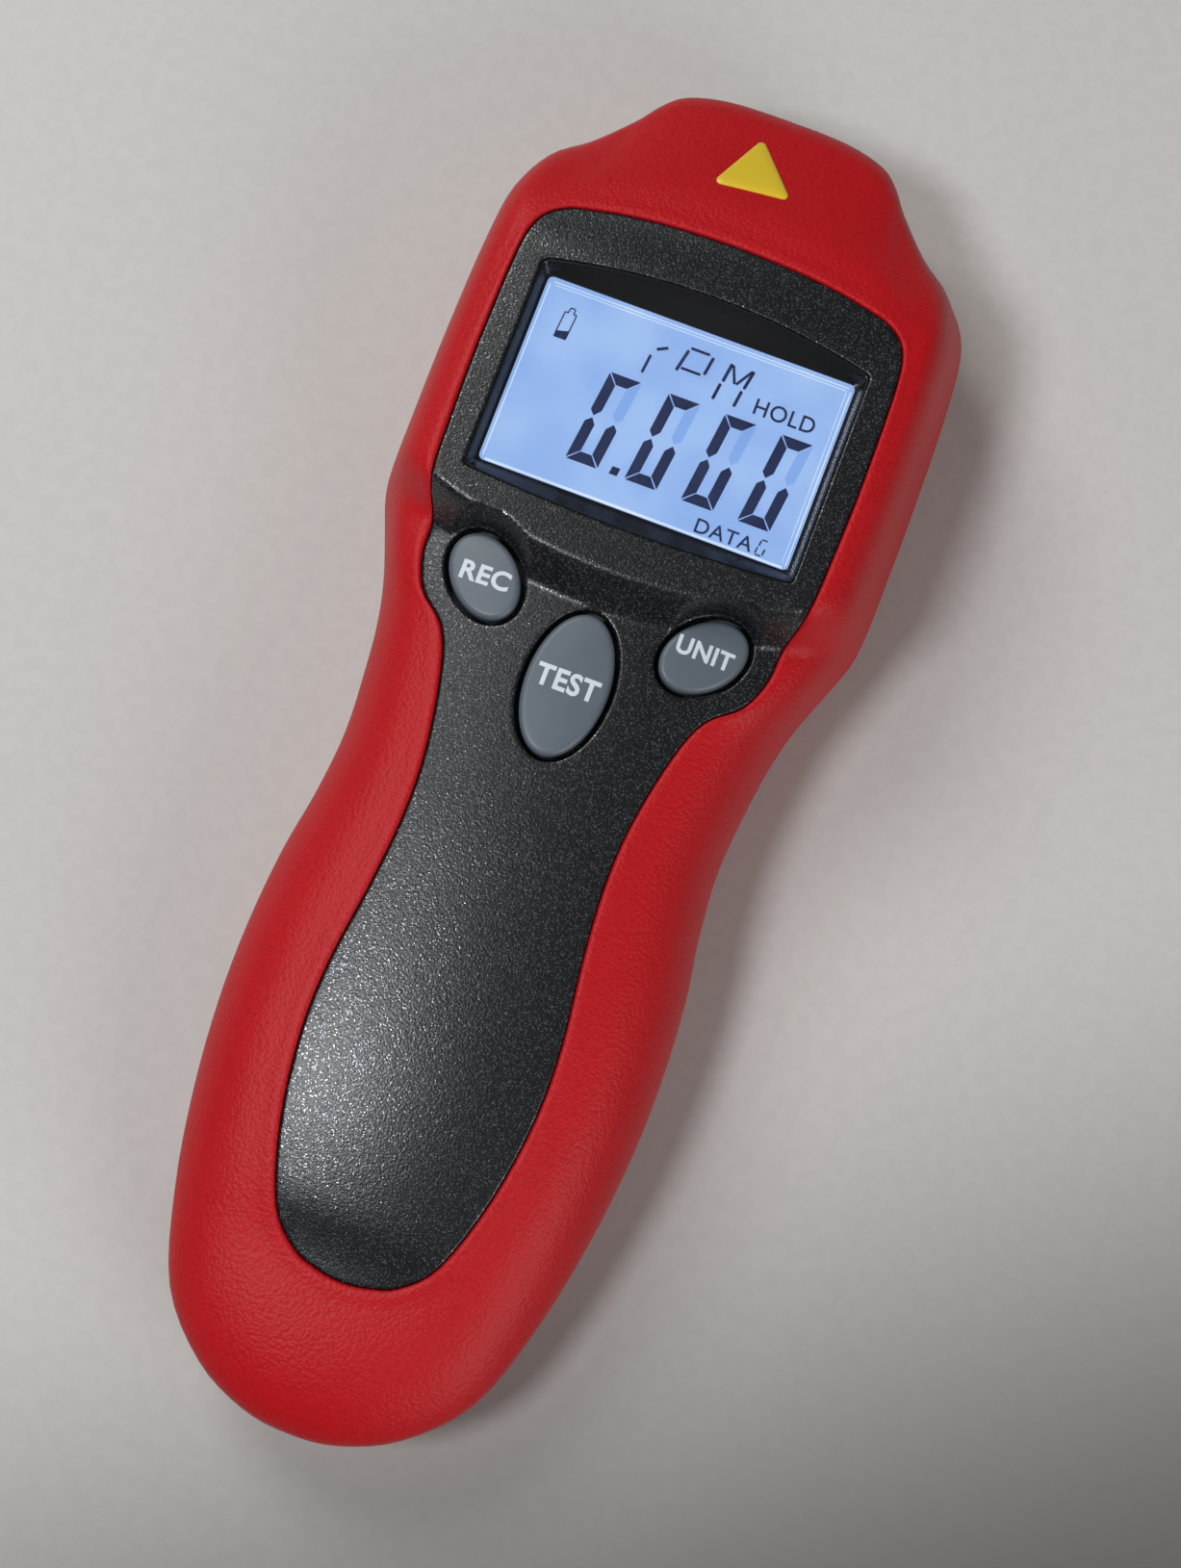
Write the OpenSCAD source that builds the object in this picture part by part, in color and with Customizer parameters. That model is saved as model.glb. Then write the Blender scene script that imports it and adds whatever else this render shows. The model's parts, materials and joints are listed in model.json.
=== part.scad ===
// Handheld contact tachometer: a rubber-gripped meter with a backlit display,
// three sprung keys, a laser pick-up in the nose and a contact spindle on ball bearings.
// X runs across the meter, +Y points to the nose and +Z out of the face.
// The origin is under the middle of the back, on the surface that the meter lies on.

/* [Body] */
// Length from the tail to the tip of the nose
body_l = 210; // [206:1:228]
// Width across the display head
head_w = 76.8; // [75:0.2:84]
// Height of the crown over the display
head_h = 37.5; // [37:0.1:40]
// Height of the crown along the handle
handle_h = 32; // [31.6:0.1:33.5]
// Height of the plane where the front and rear halves meet
part_h = 15; // [14:0.1:16]
// Thickness of the moulded case walls
wall_t = 2.2; // [1.8:0.1:2.4]
// Thickness of the rubber grip
grip_t = 2; // [1.6:0.1:2.2]
// Height by which the rubber lip stands over the panel
lip_h = 0.3; // [0.1:0.1:0.6]
// Radius of the panel's crown across the display
head_crown_r = 500; // [400:10:900]
// Radius of the panel's crown across the handle
handle_crown_r = 120; // [110:5:200]

/* [Brow below the display] */
// Rise of the brow's ends towards the nose
brow_bow = 4.9; // [3:0.1:6]
// Length of the slope under the brow
brow_run = 5.6; // [5:0.1:8]
// Fall of the panel's top edge towards the nose
crest_fall = 1.5; // [0.5:0.1:2]

/* [Display] */
// Width of the lit window
window_w = 48; // [44:0.5:49]
// Length of the lit window
window_l = 29.5; // [26:0.5:30]
// Thickness of the clear lens
lens_t = 1.2; // [1:0.1:1.5]
// Depth of the lens under the crown
lens_depth = 3.2; // [3:0.1:3.6]
// Width of the display glass
glass_w = 50.6; // [50:0.1:51]
// Length of the display glass
glass_l = 36; // [35.5:0.1:36.5]
// Thickness of the display glass
glass_t = 2; // [1.6:0.1:2.4]
// Thickness of the light guide behind the glass
guide_t = 2.8; // [2:0.1:3.4]

/* [Keys] */
// Longer semi-axis of the side keys' holes
side_key_a = 7.6; // [7:0.1:7.8]
// Shorter semi-axis of the side keys' holes
side_key_b = 5.6; // [5:0.1:6]
// Turn of the side keys
side_key_turn = 45; // [35:1:55]
// Longer semi-axis of the measuring key's hole
mid_key_a = 11.6; // [11:0.1:11.8]
// Shorter semi-axis of the measuring key's hole
mid_key_b = 6.9; // [6.5:0.1:7.1]
// Gap between a key and its hole
key_gap = 0.7; // [0.5:0.05:0.9]
// Travel of a key
key_travel = 0.8; // [0.5:0.05:0.9]
// Height of a key's edge over the panel
key_proud = 0.7; // [0.4:0.1:1.2]
// Width and thickness of the collar that holds a key in
key_collar = 0.8; // [0.6:0.1:0.9]
// Thickness of the keypad mat
mat_t = 1; // [0.8:0.1:1]

/* [Boards] */
// Height of the main board's upper face
board_h = 24.2; // [24:0.1:24.3]
// Thickness of the circuit boards
board_t = 1.6; // [1:0.1:1.8]
// Width of the main board behind the display
board_w = 62; // [61:0.5:63]
// Length of the main board
board_l = 85; // [84:0.5:86]

/* [Contact spindle] */
// Diameter of the spindle
spindle_d = 4; // [3:0.5:4]
// Height of the spindle's axis
spindle_h = 9.9; // [9.7:0.1:10]
// Length of the spindle's free end in the nose socket
spindle_free = 8; // [5:0.5:9]
// Outer diameter of the ball bearings
bearing_d = 8; // [7:0.5:8]
// Width of the ball bearings
bearing_w = 3; // [2.5:0.5:3]
// Distance between the faces of the two bearings, over both
bearing_span = 21.4; // [18:0.2:22]
// Radial clearance of the spindle in its bearings
spindle_clear = 0.03; // [0.02:0.01:0.05]
// Diameter of the slotted disc
disc_d = 14; // [12:0.5:14]
// Thickness of the slotted disc
disc_t = 0.8; // [0.5:0.1:1]
// Number of slots in the disc
disc_slots = 12; // [8:1:16]

/* [Nose] */
// Width of the nose insert
insert_w = 20; // [19.5:0.1:21]
// Height of the nose insert
insert_h = 18.4; // [18:0.1:18.6]
// Depth of the nose insert
insert_l = 15.6; // [15:0.1:16]
// Distance of the insert's face behind the tip of the nose
insert_back = 1.4; // [1.2:0.1:2]
// Radius of the socket that guides a contact tip
socket_r = 5.3; // [5:0.05:5.4]
// Diameter of the laser and receiver tubes
optic_d = 6; // [5:0.1:6]
// Height of the laser and receiver above the spindle
optic_rise = 9.2; // [9.1:0.05:9.3]
// Distance between the laser and the receiver
optic_pitch = 9.2; // [8.6:0.1:9.6]

/* [Battery] */
// Width of the battery block
cell_w = 26.5; // [26:0.1:26.5]
// Length of the battery block with its terminals
cell_l = 48.5; // [47:0.1:49]
// Thickness of the battery block
cell_t = 17.5; // [17:0.1:17.5]
// Width of the battery door
door_w = 28.8; // [28.5:0.1:29.5]
// Thickness of the battery door
door_t = 1.8; // [1.5:0.1:1.9]
// Gap all round the battery door
door_gap = 0.3; // [0.2:0.05:0.4]

/* [Screws] */
// Diameter of the case screws
screw_d = 2.6; // [2.2:0.1:2.8]
// Diameter of the case screws' heads
screw_head_d = 5; // [4.5:0.1:5.2]
// Diameter of the board screws
small_screw_d = 1.8; // [1.6:0.1:2]

/* [Hidden] */

// Overrun of every cut past the face that it opens
over = 1;
// Clearance between fixed pieces that slide together
fit = 0.05;
// Clearance of a piece dropped loosely into its seat
seat = 0.2;
// Steps on circles that show, and on small ones
round_n = 64;
small_n = 32;

half_l = body_l / 2;
half_w = head_w / 2;

// Places along the body, as shares of its half length, and across it, of its half width
brow_y_share = 0.259;
window_y_share = 0.488;
side_key_xy_shares = [0.445, 0.2];
mid_key_y_share = 0.095;
board_y_share = 0.686;
cell_y_share = -0.205;
brow_y = brow_y_share * half_l;
window_y = window_y_share * half_l;
side_key_x = side_key_xy_shares.x * half_w;
side_key_y = side_key_xy_shares.y * half_l;
mid_key_y = mid_key_y_share * half_l;
board_y = board_y_share * half_l;
cell_y = cell_y_share * half_l;

// Half outlines from the nose to the tail, each row a share of the half width and half length:
// the body's widest line, the edge of the panel and the edge of the flat back.
outline_shares = [
    [0, 1, 0, 0.754, 0, 0.967],
    [0.247, 0.997, 0.247, 0.751, 0.208, 0.964],
    [0.411, 0.982, 0.430, 0.744, 0.328, 0.949],
    [0.490, 0.958, 0.560, 0.735, 0.380, 0.919],
    [0.560, 0.924, 0.651, 0.726, 0.430, 0.881],
    [0.690, 0.882, 0.719, 0.708, 0.521, 0.833],
    [0.846, 0.848, 0.755, 0.681, 0.638, 0.790],
    [0.953, 0.790, 0.771, 0.638, 0.729, 0.733],
    [0.987, 0.695, 0.777, 0.571, 0.763, 0.652],
    [0.999, 0.548, 0.779, 0.476, 0.773, 0.524],
    [1, 0.429, 0.773, 0.386, 0.773, 0.414],
    [0.996, 0.333, 0.760, 0.300, 0.766, 0.319],
    [0.977, 0.286, 0.716, 0.251, 0.742, 0.262],
    [0.927, 0.236, 0.706, 0.203, 0.698, 0.205],
    [0.870, 0.179, 0.651, 0.154, 0.646, 0.148],
    [0.828, 0.119, 0.536, 0.115, 0.604, 0.090],
    [0.797, 0.038, 0.469, 0.052, 0.573, 0.024],
    [0.779, -0.057, 0.414, -0.057, 0.555, -0.062],
    [0.799, -0.152, 0.404, -0.152, 0.565, -0.148],
    [0.839, -0.248, 0.427, -0.257, 0.594, -0.238],
    [0.859, -0.362, 0.466, -0.371, 0.612, -0.352],
    [0.854, -0.476, 0.471, -0.476, 0.607, -0.467],
    [0.818, -0.605, 0.424, -0.600, 0.573, -0.586],
    [0.745, -0.743, 0.328, -0.710, 0.505, -0.705],
    [0.625, -0.871, 0.208, -0.757, 0.406, -0.810],
    [0.417, -0.952, 0.104, -0.771, 0.271, -0.871],
    [0.195, -0.991, 0.047, -0.775, 0.130, -0.901],
    [0, -1, 0, -0.776, 0, -0.910]];
row_n = len(outline_shares) - 1;

// Columns round the body, and on one half of it
half_n = 40;
ring_n = 2 * half_n;

// Profiles from the panel's lip to the widest line, as shares of the run and of the fall
head_profile_shares = [[0, 0], [0.18, 0.01], [0.38, 0.055], [0.56, 0.155], [0.70, 0.32], [0.84, 0.6],
    [1, 1]];
handle_profile_shares = [[0, 0], [0.24, 0.025], [0.48, 0.11], [0.70, 0.27], [0.87, 0.5], [0.97, 0.75],
    [1, 1]];
nose_profile_shares = [[0, 0], [0.22, 0.06], [0.48, 0.21], [0.73, 0.35], [0.91, 0.46], [1, 0.64], [1, 1]];
// Profile from the widest line to the flat back
back_profile_shares = [[0, 0], [0.03, 0.25], [0.12, 0.5], [0.3, 0.74], [0.58, 0.92], [1, 1]];
front_rows = len(head_profile_shares) - 1;
back_rows = len(back_profile_shares) - 1;

// Crest of the handle along its length, as shares of the half length and of the handle's height
crest_shares = [[-1, 0.66], [-0.776, 0.77], [-0.667, 0.865], [-0.476, 0.945], [-0.19, 0.985], [0.095, 1],
    [0.286, 1.01], [1, 1.01]];
crest_from = 0.65 * half_l;
crest_to = 0.754 * half_l;

// Share of the panel's edge at which its middle line is drawn in
spine_share = 0.9;
// How far the points of that middle line are moved to even spacing
spine_spread = 0.4;
// Rings of the panel between its edge and its middle line
plate_shares = [0.34, 0.68];

function blend(a, b, t) = a + (b - a) * t;
function clamp01(t) = min(1, max(0, t));
function smooth(a, b, v) = let (t = clamp01((v - a) / (b - a))) t * t * (3 - 2 * t);
function mirrored(p) = [-p.x, p.y];

// Point of a spline through the rows of the outline table, for the pair of columns at c
function row_point(r, c) =
    let (k = r < 0 ? -r : (r > row_n ? 2 * row_n - r : r), row = outline_shares[k],
        p = [row[c] * half_w, row[c + 1] * half_l])
    (r < 0 || r > row_n) ? mirrored(p) : p;
function spline(a, b, c, d, t) = 0.5 * (2 * b + (c - a) * t + (2 * a - 5 * b + 4 * c - d) * t * t
    + (3 * b - a - 3 * c + d) * t * t * t);
function half_point(i, c) =
    let (u = i * row_n / half_n, r = min(floor(u), row_n - 1))
    spline(row_point(r - 1, c), row_point(r, c), row_point(r + 1, c), row_point(r + 2, c), u - r);
function ring_point(i, c) = i <= half_n ? half_point(i, c) : mirrored(half_point(ring_n - i, c));

rim = [for (i = [0:ring_n - 1]) ring_point(i, 0)];
edge = [for (i = [0:ring_n - 1]) ring_point(i, 2)];
foot = [for (i = [0:ring_n - 1]) ring_point(i, 4)];

// Outward normal of a ring at one of its points
function across(ring, i) =
    let (d = ring[(i + 1) % ring_n] - ring[(i + ring_n - 1) % ring_n], n = [-d.y, d.x])
    n / norm(n);
function inset(ring, i, d) = ring[i] - d * across(ring, i);

// Height of the panel at any place
function handle_top(x, y) = handle_h * lookup(y / half_l, crest_shares) - x * x / (2 * handle_crown_r);
function head_top(x, y) = head_h - crest_fall * smooth(crest_from, crest_to, y) - x * x / (2 * head_crown_r);
brow_half_share = 0.76;
function brow_line(x) = brow_y + brow_bow * pow(x / (brow_half_share * half_w), 2);
function panel_z(x, y) =
    let (t = smooth(brow_line(x) - brow_run, brow_line(x), y))
    blend(handle_top(x, y), head_top(x, y), t);

// Shape of the flank between the panel and the widest line in one column
function profile(i, j) =
    let (y = rim[i].y, nose = smooth(0.8 * half_l, 0.94 * half_l, y), grip = smooth(0.38 * half_l, 0, y))
    blend(blend(head_profile_shares[j], handle_profile_shares[j], grip), nose_profile_shares[j], nose);

// Point of the front flank: column i, row j, at depth d under the outer skin
function flank(i, j, d) =
    let (p = profile(i, j), q = blend(edge[i], inset(rim, i, d), p.x), top = panel_z(edge[i].x, edge[i].y) - d)
    [q.x, q.y, blend(top, part_h, p.y)];
function back_flank(i, j, d) =
    let (p = back_profile_shares[j], q = blend(inset(rim, i, d), foot[i], p.x))
    [q.x, q.y, blend(part_h, d, p.y)];

function lifted(p, z) = [p.x, p.y, z];
function flank_ring(j, d) = [for (i = [0:ring_n - 1]) flank(i, j, d)];
function back_ring(j, d) = [for (i = [0:ring_n - 1]) back_flank(i, j, d)];
function edge_ring(d) = [for (p = edge) lifted(p, panel_z(p.x, p.y) - d)];
function inner_edge_ring(d) = [for (i = [0:ring_n - 1])
    let (q = inset(edge, i, wall_t)) lifted(q, panel_z(q.x, q.y) - d)];
function spine_point(ring, i) = [0, spine_share
    * blend(ring[i].y, blend(ring[0].y, ring[half_n].y, (i <= half_n ? i : ring_n - i) / half_n), spine_spread)];
function plate_ring(share, d) = [for (i = [0:ring_n - 1])
    let (q = blend(spine_point(edge, i), edge[i], share)) lifted(q, panel_z(q.x, q.y) - d)];
function plate_spine(d) = [for (i = [0:half_n])
    let (q = spine_point(edge, i)) lifted(q, panel_z(q.x, q.y) - d)];
function foot_ring(z) = [for (p = foot) lifted(p, z)];
function inner_foot_ring(z) = [for (i = [0:ring_n - 1]) lifted(inset(foot, i, wall_t), z)];
function floor_ring(share, z) = [for (i = [0:ring_n - 1])
    lifted(blend(spine_point(foot, i), foot[i], share), z)];
function floor_spine(z) = [for (i = [0:half_n]) lifted(spine_point(foot, i), z)];

// Two triangles of the band between two rows of points, split alike on both halves of the body.
// Bands that lie on each other run opposite ways, so one of them takes the other split.
function pair(a, b, c, d, i, n) = i % (n / 2) < n / 4 ? [[a, b, c], [a, c, d]] : [[a, b, d], [b, c, d]];
function other_pair(a, b, c, d, i, n) = i % (n / 2) < n / 4 ? [[a, b, d], [b, c, d]] : [[a, b, c], [a, c, d]];
function flat1(list) = [for (group = list) for (item = group) item];

// Closed band through rings of n points each, the last ring joined to the first
module loop_solid(rings, n) {
    m = len(rings);
    faces = [for (r = [0:m - 1]) for (i = [0:n - 1])
        let (a = r * n, b = (r + 1) % m * n, k = (i + 1) % n)
        each other_pair(a + i, a + k, b + k, b + i, i, n)];
    polyhedron(points = flat1(rings), faces = faces, convexity = 8);
}

// Closed shell from one middle line through rings to another middle line
function mid_index(i) = let (k = i % ring_n) k <= half_n ? k : ring_n - k;
function shell_index(r, m, i) = r == 0 ? mid_index(i)
    : half_n + 1 + (r - 1) * ring_n + (r > m ? mid_index(i) : i % ring_n);
module shell_solid(first, rings, last) {
    m = len(rings);
    faces = [for (r = [0:m]) for (i = [0:ring_n - 1])
        let (a = shell_index(r, m, i), b = shell_index(r, m, i + 1),
            c = shell_index(r + 1, m, i + 1), d = shell_index(r + 1, m, i))
        each (r == m ? other_pair(a, b, c, d, i, ring_n) : pair(a, b, c, d, i, ring_n))];
    polyhedron(points = concat(first, flat1(rings), last), faces = faces, convexity = 8);
}

// Rounded bar along Y from y0 to y1, centred on x and z
module rounded_bar(w, h, r, x, z, y0, y1) {
    translate([x, y1, z]) rotate([90, 0, 0]) linear_extrude(height = y1 - y0) rounded_square(w, h, r);
}
module rounded_square(w, h, r) {
    hull() for (sx = [-1, 1]) for (sy = [-1, 1])
        translate([sx * (w / 2 - r), sy * (h / 2 - r)]) circle(r = r, $fn = small_n);
}
module block(x0, x1, y0, y1, z0, z1) {
    translate([x0, y0, z0]) cube([x1 - x0, y1 - y0, z1 - z0]);
}
// Cylinder along Y
module rod(r, x, z, y0, y1, n = round_n) {
    translate([x, y0, z]) rotate([-90, 0, 0]) cylinder(r = r, h = y1 - y0, $fn = n);
}
module ellipse_prism(a, b, z0, z1, n = round_n) {
    translate([0, 0, z0]) linear_extrude(height = z1 - z0)
        polygon([for (k = [0:n - 1]) [a * cos(360 * k / n), b * sin(360 * k / n)]]);
}

// Step between the panel and the wall under the grip
step_t = 1.6;

// Case screws: one place for each pair, and one on the middle line
boss_wall = 2.1;
screw_l = 13;
screw_bite = 4;
screw_head_h = 2;
case_screw_shares = [[0.6, 0.724], [0.455, 0.043], [0, -0.819]];
case_screw_places = [for (s = case_screw_shares) let (p = [s.x * half_w, s.y * half_l])
    each p.x > 0 ? [p, mirrored(p)] : [p]];
boss_r = screw_d / 2 + boss_wall;
well_r = screw_head_d / 2 + 6 * fit;
well_wall = 1.5;
head_seat_h = part_h + screw_bite - screw_l;

// Screws that hold the main board to the posts of the front case
post_wall = 1.3;
post_r = small_screw_d / 2 + post_wall;
small_screw_bite = 5;
small_head_h = 1.2;
small_head_r = small_screw_d;
upper_post_shares = [0.755, 0.648];
lower_post_shares = [0.286, -0.086];
function post_place(s) = [s.x * half_w, s.y * half_l];
board_screw_places = [for (s = [upper_post_shares, lower_post_shares]) let (p = post_place(s))
    each [p, mirrored(p)]];

// Depths under the panel at which bosses and posts end, inside the wall that carries them
wall_share = 0.6;
edge_root = grip_t + wall_share * wall_t;
plate_root = wall_share * wall_t;

// Edge of the display's recess: bowed ends, straight sides
recess_side = 1.5;
recess_top_rise = 3;
recess_low_drop = 1.3;
recess_top = 1.5;
recess_low = 2;
recess_n = 14;
function recess_outline(gap) =
    let (w = window_w / 2 + recess_side - gap, top = window_y + window_l / 2 + recess_top - gap,
        low = window_y - window_l / 2 - recess_low + gap)
    concat([for (k = [0:recess_n]) let (s = 1 - 2 * k / recess_n) [s * w, top + recess_top_rise * (1 - s * s)]],
        [for (k = [0:recess_n]) let (s = 2 * k / recess_n - 1) [s * w, low - recess_low_drop * (1 - s * s)]]);
window_outline = concat(
    [for (k = [0:recess_n]) [(1 - 2 * k / recess_n) * window_w / 2, window_y + window_l / 2]],
    [for (k = [0:recess_n]) [(2 * k / recess_n - 1) * window_w / 2, window_y - window_l / 2]]);

// Heights of the display's layers
lens_z = head_h - lens_depth;
glass_z = lens_z - lens_t - seat;
guide_z = glass_z - glass_t;
shelf_z = guide_z - guide_t;
frame_wall = 1.1;
frame_w = glass_w + 2 * (seat + frame_wall);
frame_l = glass_l + 2 * (seat + frame_wall);
strip_w = 1.8;
strip_from = 15.6;

// Keys
stem_share = 0.55;
mat_hole_gap = 0.6;
key_seat = 0.3;
function key_reach(a, b, turn) = norm([(a + key_collar) * cos(turn), (b + key_collar) * sin(turn)]);
function collar_z(x, y, a, b, turn) =
    let (reach = key_reach(a, b, turn))
    min(handle_top(abs(x) + reach, y - key_reach(b, a, turn)), handle_top(abs(x) + reach, y)) - wall_t - key_seat;

// Nose, from the tip inwards
socket_floor = 1.5;
face_y = half_l - insert_back;
insert_y = face_y - insert_l;
socket_y = insert_y + socket_floor;
free_y = socket_y + spindle_free;
front_bearing_y = insert_y - bearing_w;
rear_bearing_y = insert_y - bearing_span;
housing_wall = 1.8;
housing_r = bearing_d / 2 + housing_wall;
thrust_gap = 0.1;
clip_t = 0.8;
clip_y = rear_bearing_y - thrust_gap - clip_t;
hub_l = 3;
hub_r = 3.5;
hub_y = clip_y - 4 * thrust_gap - hub_l;
spindle_end = 1;
spindle_y = hub_y - spindle_end;
collar_r = 2.7;
optic_h = spindle_h + optic_rise;
optic_r = optic_d / 2;
optic_wall = 0.2;
optics_w = 19;
optics_l = 11.2;
optics_y = insert_y - optics_l;
optics_top = 0.2;
window_margin = 2.4;
opening_gap = 0.3;
insert_floor = 1;
insert_z = spindle_h - socket_r - insert_floor;

// Battery, its tray and its door
door_lift = 0.3;
pad_t = 0.45;
cell_z = door_lift + door_t + pad_t + fit;
terminal_l = 2;
cell_end = cell_y - cell_l;
tray_gap = 0.5;
tray_wall = 1.4;
snap_room = 5.3;
tray_y0 = cell_end - tray_gap;
tray_y1 = cell_y + snap_room;
tray_top = cell_z + cell_t + tray_gap;
flange_w = 2;
door_end = 6.8;
door_y0 = tray_y0 - door_end;
door_y1 = tray_y1 - tray_gap;
door_screw_y = tray_y0 - door_end / 2;

// Posts and bosses are solid cylinders that end inside the wall above them
module front_boss(p, r, z0, root) {
    translate([p.x, p.y, z0]) cylinder(r = r, h = panel_z(p.x, p.y) - root - z0, $fn = small_n);
}

module nose_opening(gap) {
    rounded_bar(insert_w + 2 * gap, insert_h + 2 * gap, 2.4, 0, insert_z + insert_h / 2,
        insert_y, half_l + over);
}

module key_hole(x, y, a, b, turn) {
    translate([x, y, 0]) rotate([0, 0, turn]) ellipse_prism(a, b, part_h, head_h + over);
}

// Slanted cut that keeps the brow's slope off the side keys
scoop_gap = 0.5;
scoop_spread = 0.3;
module key_scoop(x, y, a, b, turn) {
    z = handle_top(x, y) + scoop_gap;
    grow = scoop_spread * (head_h + over - z);
    translate([x, y, z]) rotate([0, 0, turn])
        linear_extrude(height = head_h + over - z, scale = [1 + grow / a, 1 + grow / b])
            polygon([for (k = [0:small_n - 1]) let (t = 360 * k / small_n) [a * cos(t), b * sin(t)]]);
}

// Wall that closes the shell behind a side key's hole, under the brow's slope
key_wall = 1.6;
key_wall_foot = 2;
key_wall_sink = 1.1;
module key_well(x, y, a, b, turn) {
    z = collar_z(x, y, a, b, turn) + key_seat;
    reach = scoop_gap + scoop_spread * (head_h - handle_top(x, y)) + key_wall;
    low_y = brow_line(x) - brow_run;
    skew = atan((brow_line(x) - brow_line(0)) * 2 / x);
    intersection() {
        translate([x, y, 0]) rotate([0, 0, turn]) ellipse_prism(a + reach, b + reach, z, head_h);
        translate([x, brow_line(x), 0]) rotate([0, 0, skew]) rotate([90, 0, 90])
            linear_extrude(height = 4 * a, center = true) polygon([[-brow_run, z],
                [-brow_run, handle_top(x, low_y) - key_wall_foot], [0, head_top(x, brow_line(x)) - key_wall_sink],
                [2 * a, head_top(x, brow_line(x)) - key_wall_sink], [2 * a, z]]);
    }
}

module front_case() {
    color([0.17, 0.18, 0.19]) difference() {
        union() {
            key_well(-side_key_x, side_key_y, side_key_a, side_key_b, -side_key_turn);
            key_well(side_key_x, side_key_y, side_key_a, side_key_b, side_key_turn);
            shell_solid(plate_spine(wall_t),
                concat([for (s = plate_shares) plate_ring(s, wall_t)],
                    [inner_edge_ring(wall_t), inner_edge_ring(grip_t + wall_t)],
                    [for (j = [0:front_rows]) flank_ring(j, grip_t + wall_t)],
                    [for (j = [front_rows:-1:0]) flank_ring(j, grip_t)], [edge_ring(0)],
                    [for (s = [plate_shares[1], plate_shares[0]]) plate_ring(s, 0)]),
                plate_spine(0));
            for (p = case_screw_places) front_boss(p, boss_r, part_h, edge_root);
            for (k = [0, 1]) front_boss(board_screw_places[k], post_r, board_h, edge_root);
            for (k = [2, 3]) front_boss(board_screw_places[k], post_r, board_h, plate_root);
        }
        translate([0, 0, part_h]) linear_extrude(height = head_h) polygon(recess_outline(0));
        key_hole(-side_key_x, side_key_y, side_key_a, side_key_b, -side_key_turn);
        key_hole(side_key_x, side_key_y, side_key_a, side_key_b, side_key_turn);
        key_hole(0, mid_key_y, mid_key_a, mid_key_b, 90);
        key_scoop(-side_key_x, side_key_y, side_key_a + scoop_gap, side_key_b + scoop_gap, -side_key_turn);
        key_scoop(side_key_x, side_key_y, side_key_a + scoop_gap, side_key_b + scoop_gap, side_key_turn);
        nose_opening(opening_gap);
        for (p = case_screw_places) translate([p.x, p.y, part_h - over])
            cylinder(d = screw_d + fit, h = over + screw_bite + opening_gap, $fn = small_n);
        for (p = board_screw_places) translate([p.x, p.y, board_h - over])
            cylinder(d = small_screw_d + fit, h = over + small_screw_bite + opening_gap, $fn = small_n);
    }
}

module front_grip() {
    color([0.72, 0.10, 0.12]) difference() {
        loop_solid(concat([for (j = [0:front_rows]) flank_ring(j, grip_t)],
            [for (j = [front_rows:-1:1]) flank_ring(j, 0)], [edge_ring(-lip_h)]), ring_n);
        nose_opening(opening_gap);
    }
}

module rear_case() {
    color([0.17, 0.18, 0.19]) difference() {
        union() {
            shell_solid(floor_spine(0),
                concat([floor_ring(0.5, 0), foot_ring(0)],
                    [for (j = [back_rows:-1:0]) back_ring(j, grip_t)],
                    [for (j = [0:back_rows]) back_ring(j, grip_t + wall_t)],
                    [inner_foot_ring(grip_t + wall_t), inner_foot_ring(wall_t), floor_ring(0.5, wall_t)]),
                floor_spine(wall_t));
            for (p = case_screw_places) translate([p.x, p.y, plate_root])
                cylinder(r = well_r + well_wall, h = part_h - plate_root, $fn = small_n);
            for (y = [rear_bearing_y + bearing_w, front_bearing_y - bearing_w])
                block(-housing_r - tray_wall, housing_r + tray_wall, y - tray_wall, y, plate_root, spindle_h);
        }
        for (p = case_screw_places) translate([p.x, p.y, 0]) {
            translate([0, 0, -over]) cylinder(r = well_r, h = over + head_seat_h, $fn = small_n);
            cylinder(d = screw_d + 4 * fit, h = part_h + over, $fn = small_n);
        }
        rod(housing_r + fit, 0, spindle_h, rear_bearing_y, insert_y);
        block(-door_w / 2 - door_gap, door_w / 2 + door_gap, door_y0 - door_gap, door_y1 + door_gap,
            -over, wall_t + over);
        nose_opening(opening_gap);
    }
}

module rear_grip() {
    color([0.72, 0.10, 0.12]) difference() {
        loop_solid(concat([for (j = [0:back_rows]) back_ring(j, grip_t)],
            [for (j = [back_rows:-1:0]) back_ring(j, 0)]), ring_n);
        nose_opening(opening_gap);
    }
}

// Black ring whose walls slope from the panel down to the lens
module display_bezel() {
    outer = recess_outline(fit);
    lip = recess_outline(6 * fit);
    n = len(outer);
    color([0.05, 0.05, 0.055]) loop_solid([
        [for (p = window_outline) lifted(p, lens_z)],
        [for (p = lip) lifted(p, panel_z(p.x, p.y) - seat)],
        [for (p = outer) lifted(p, panel_z(p.x, p.y) - seat)],
        [for (p = outer) lifted(p, lens_z)]], n);
}

module screen_lens() {
    color([0.75, 0.86, 0.98, 0.6]) translate([0, window_y, lens_z - lens_t])
        linear_extrude(height = lens_t) rounded_square(frame_w - 2 * opening_gap, frame_l - 2 * opening_gap, lens_t);
}

module lcd_glass() {
    color([0.62, 0.74, 0.95]) translate([-glass_w / 2, window_y - glass_l / 2, guide_z])
        cube([glass_w, glass_l, glass_t]);
}

module light_guide() {
    color([0.9, 0.95, 1]) translate([-glass_w / 2 + seat, window_y - strip_from + fit, shelf_z])
        cube([glass_w - 2 * seat, 2 * (strip_from - fit), guide_t]);
}

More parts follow.
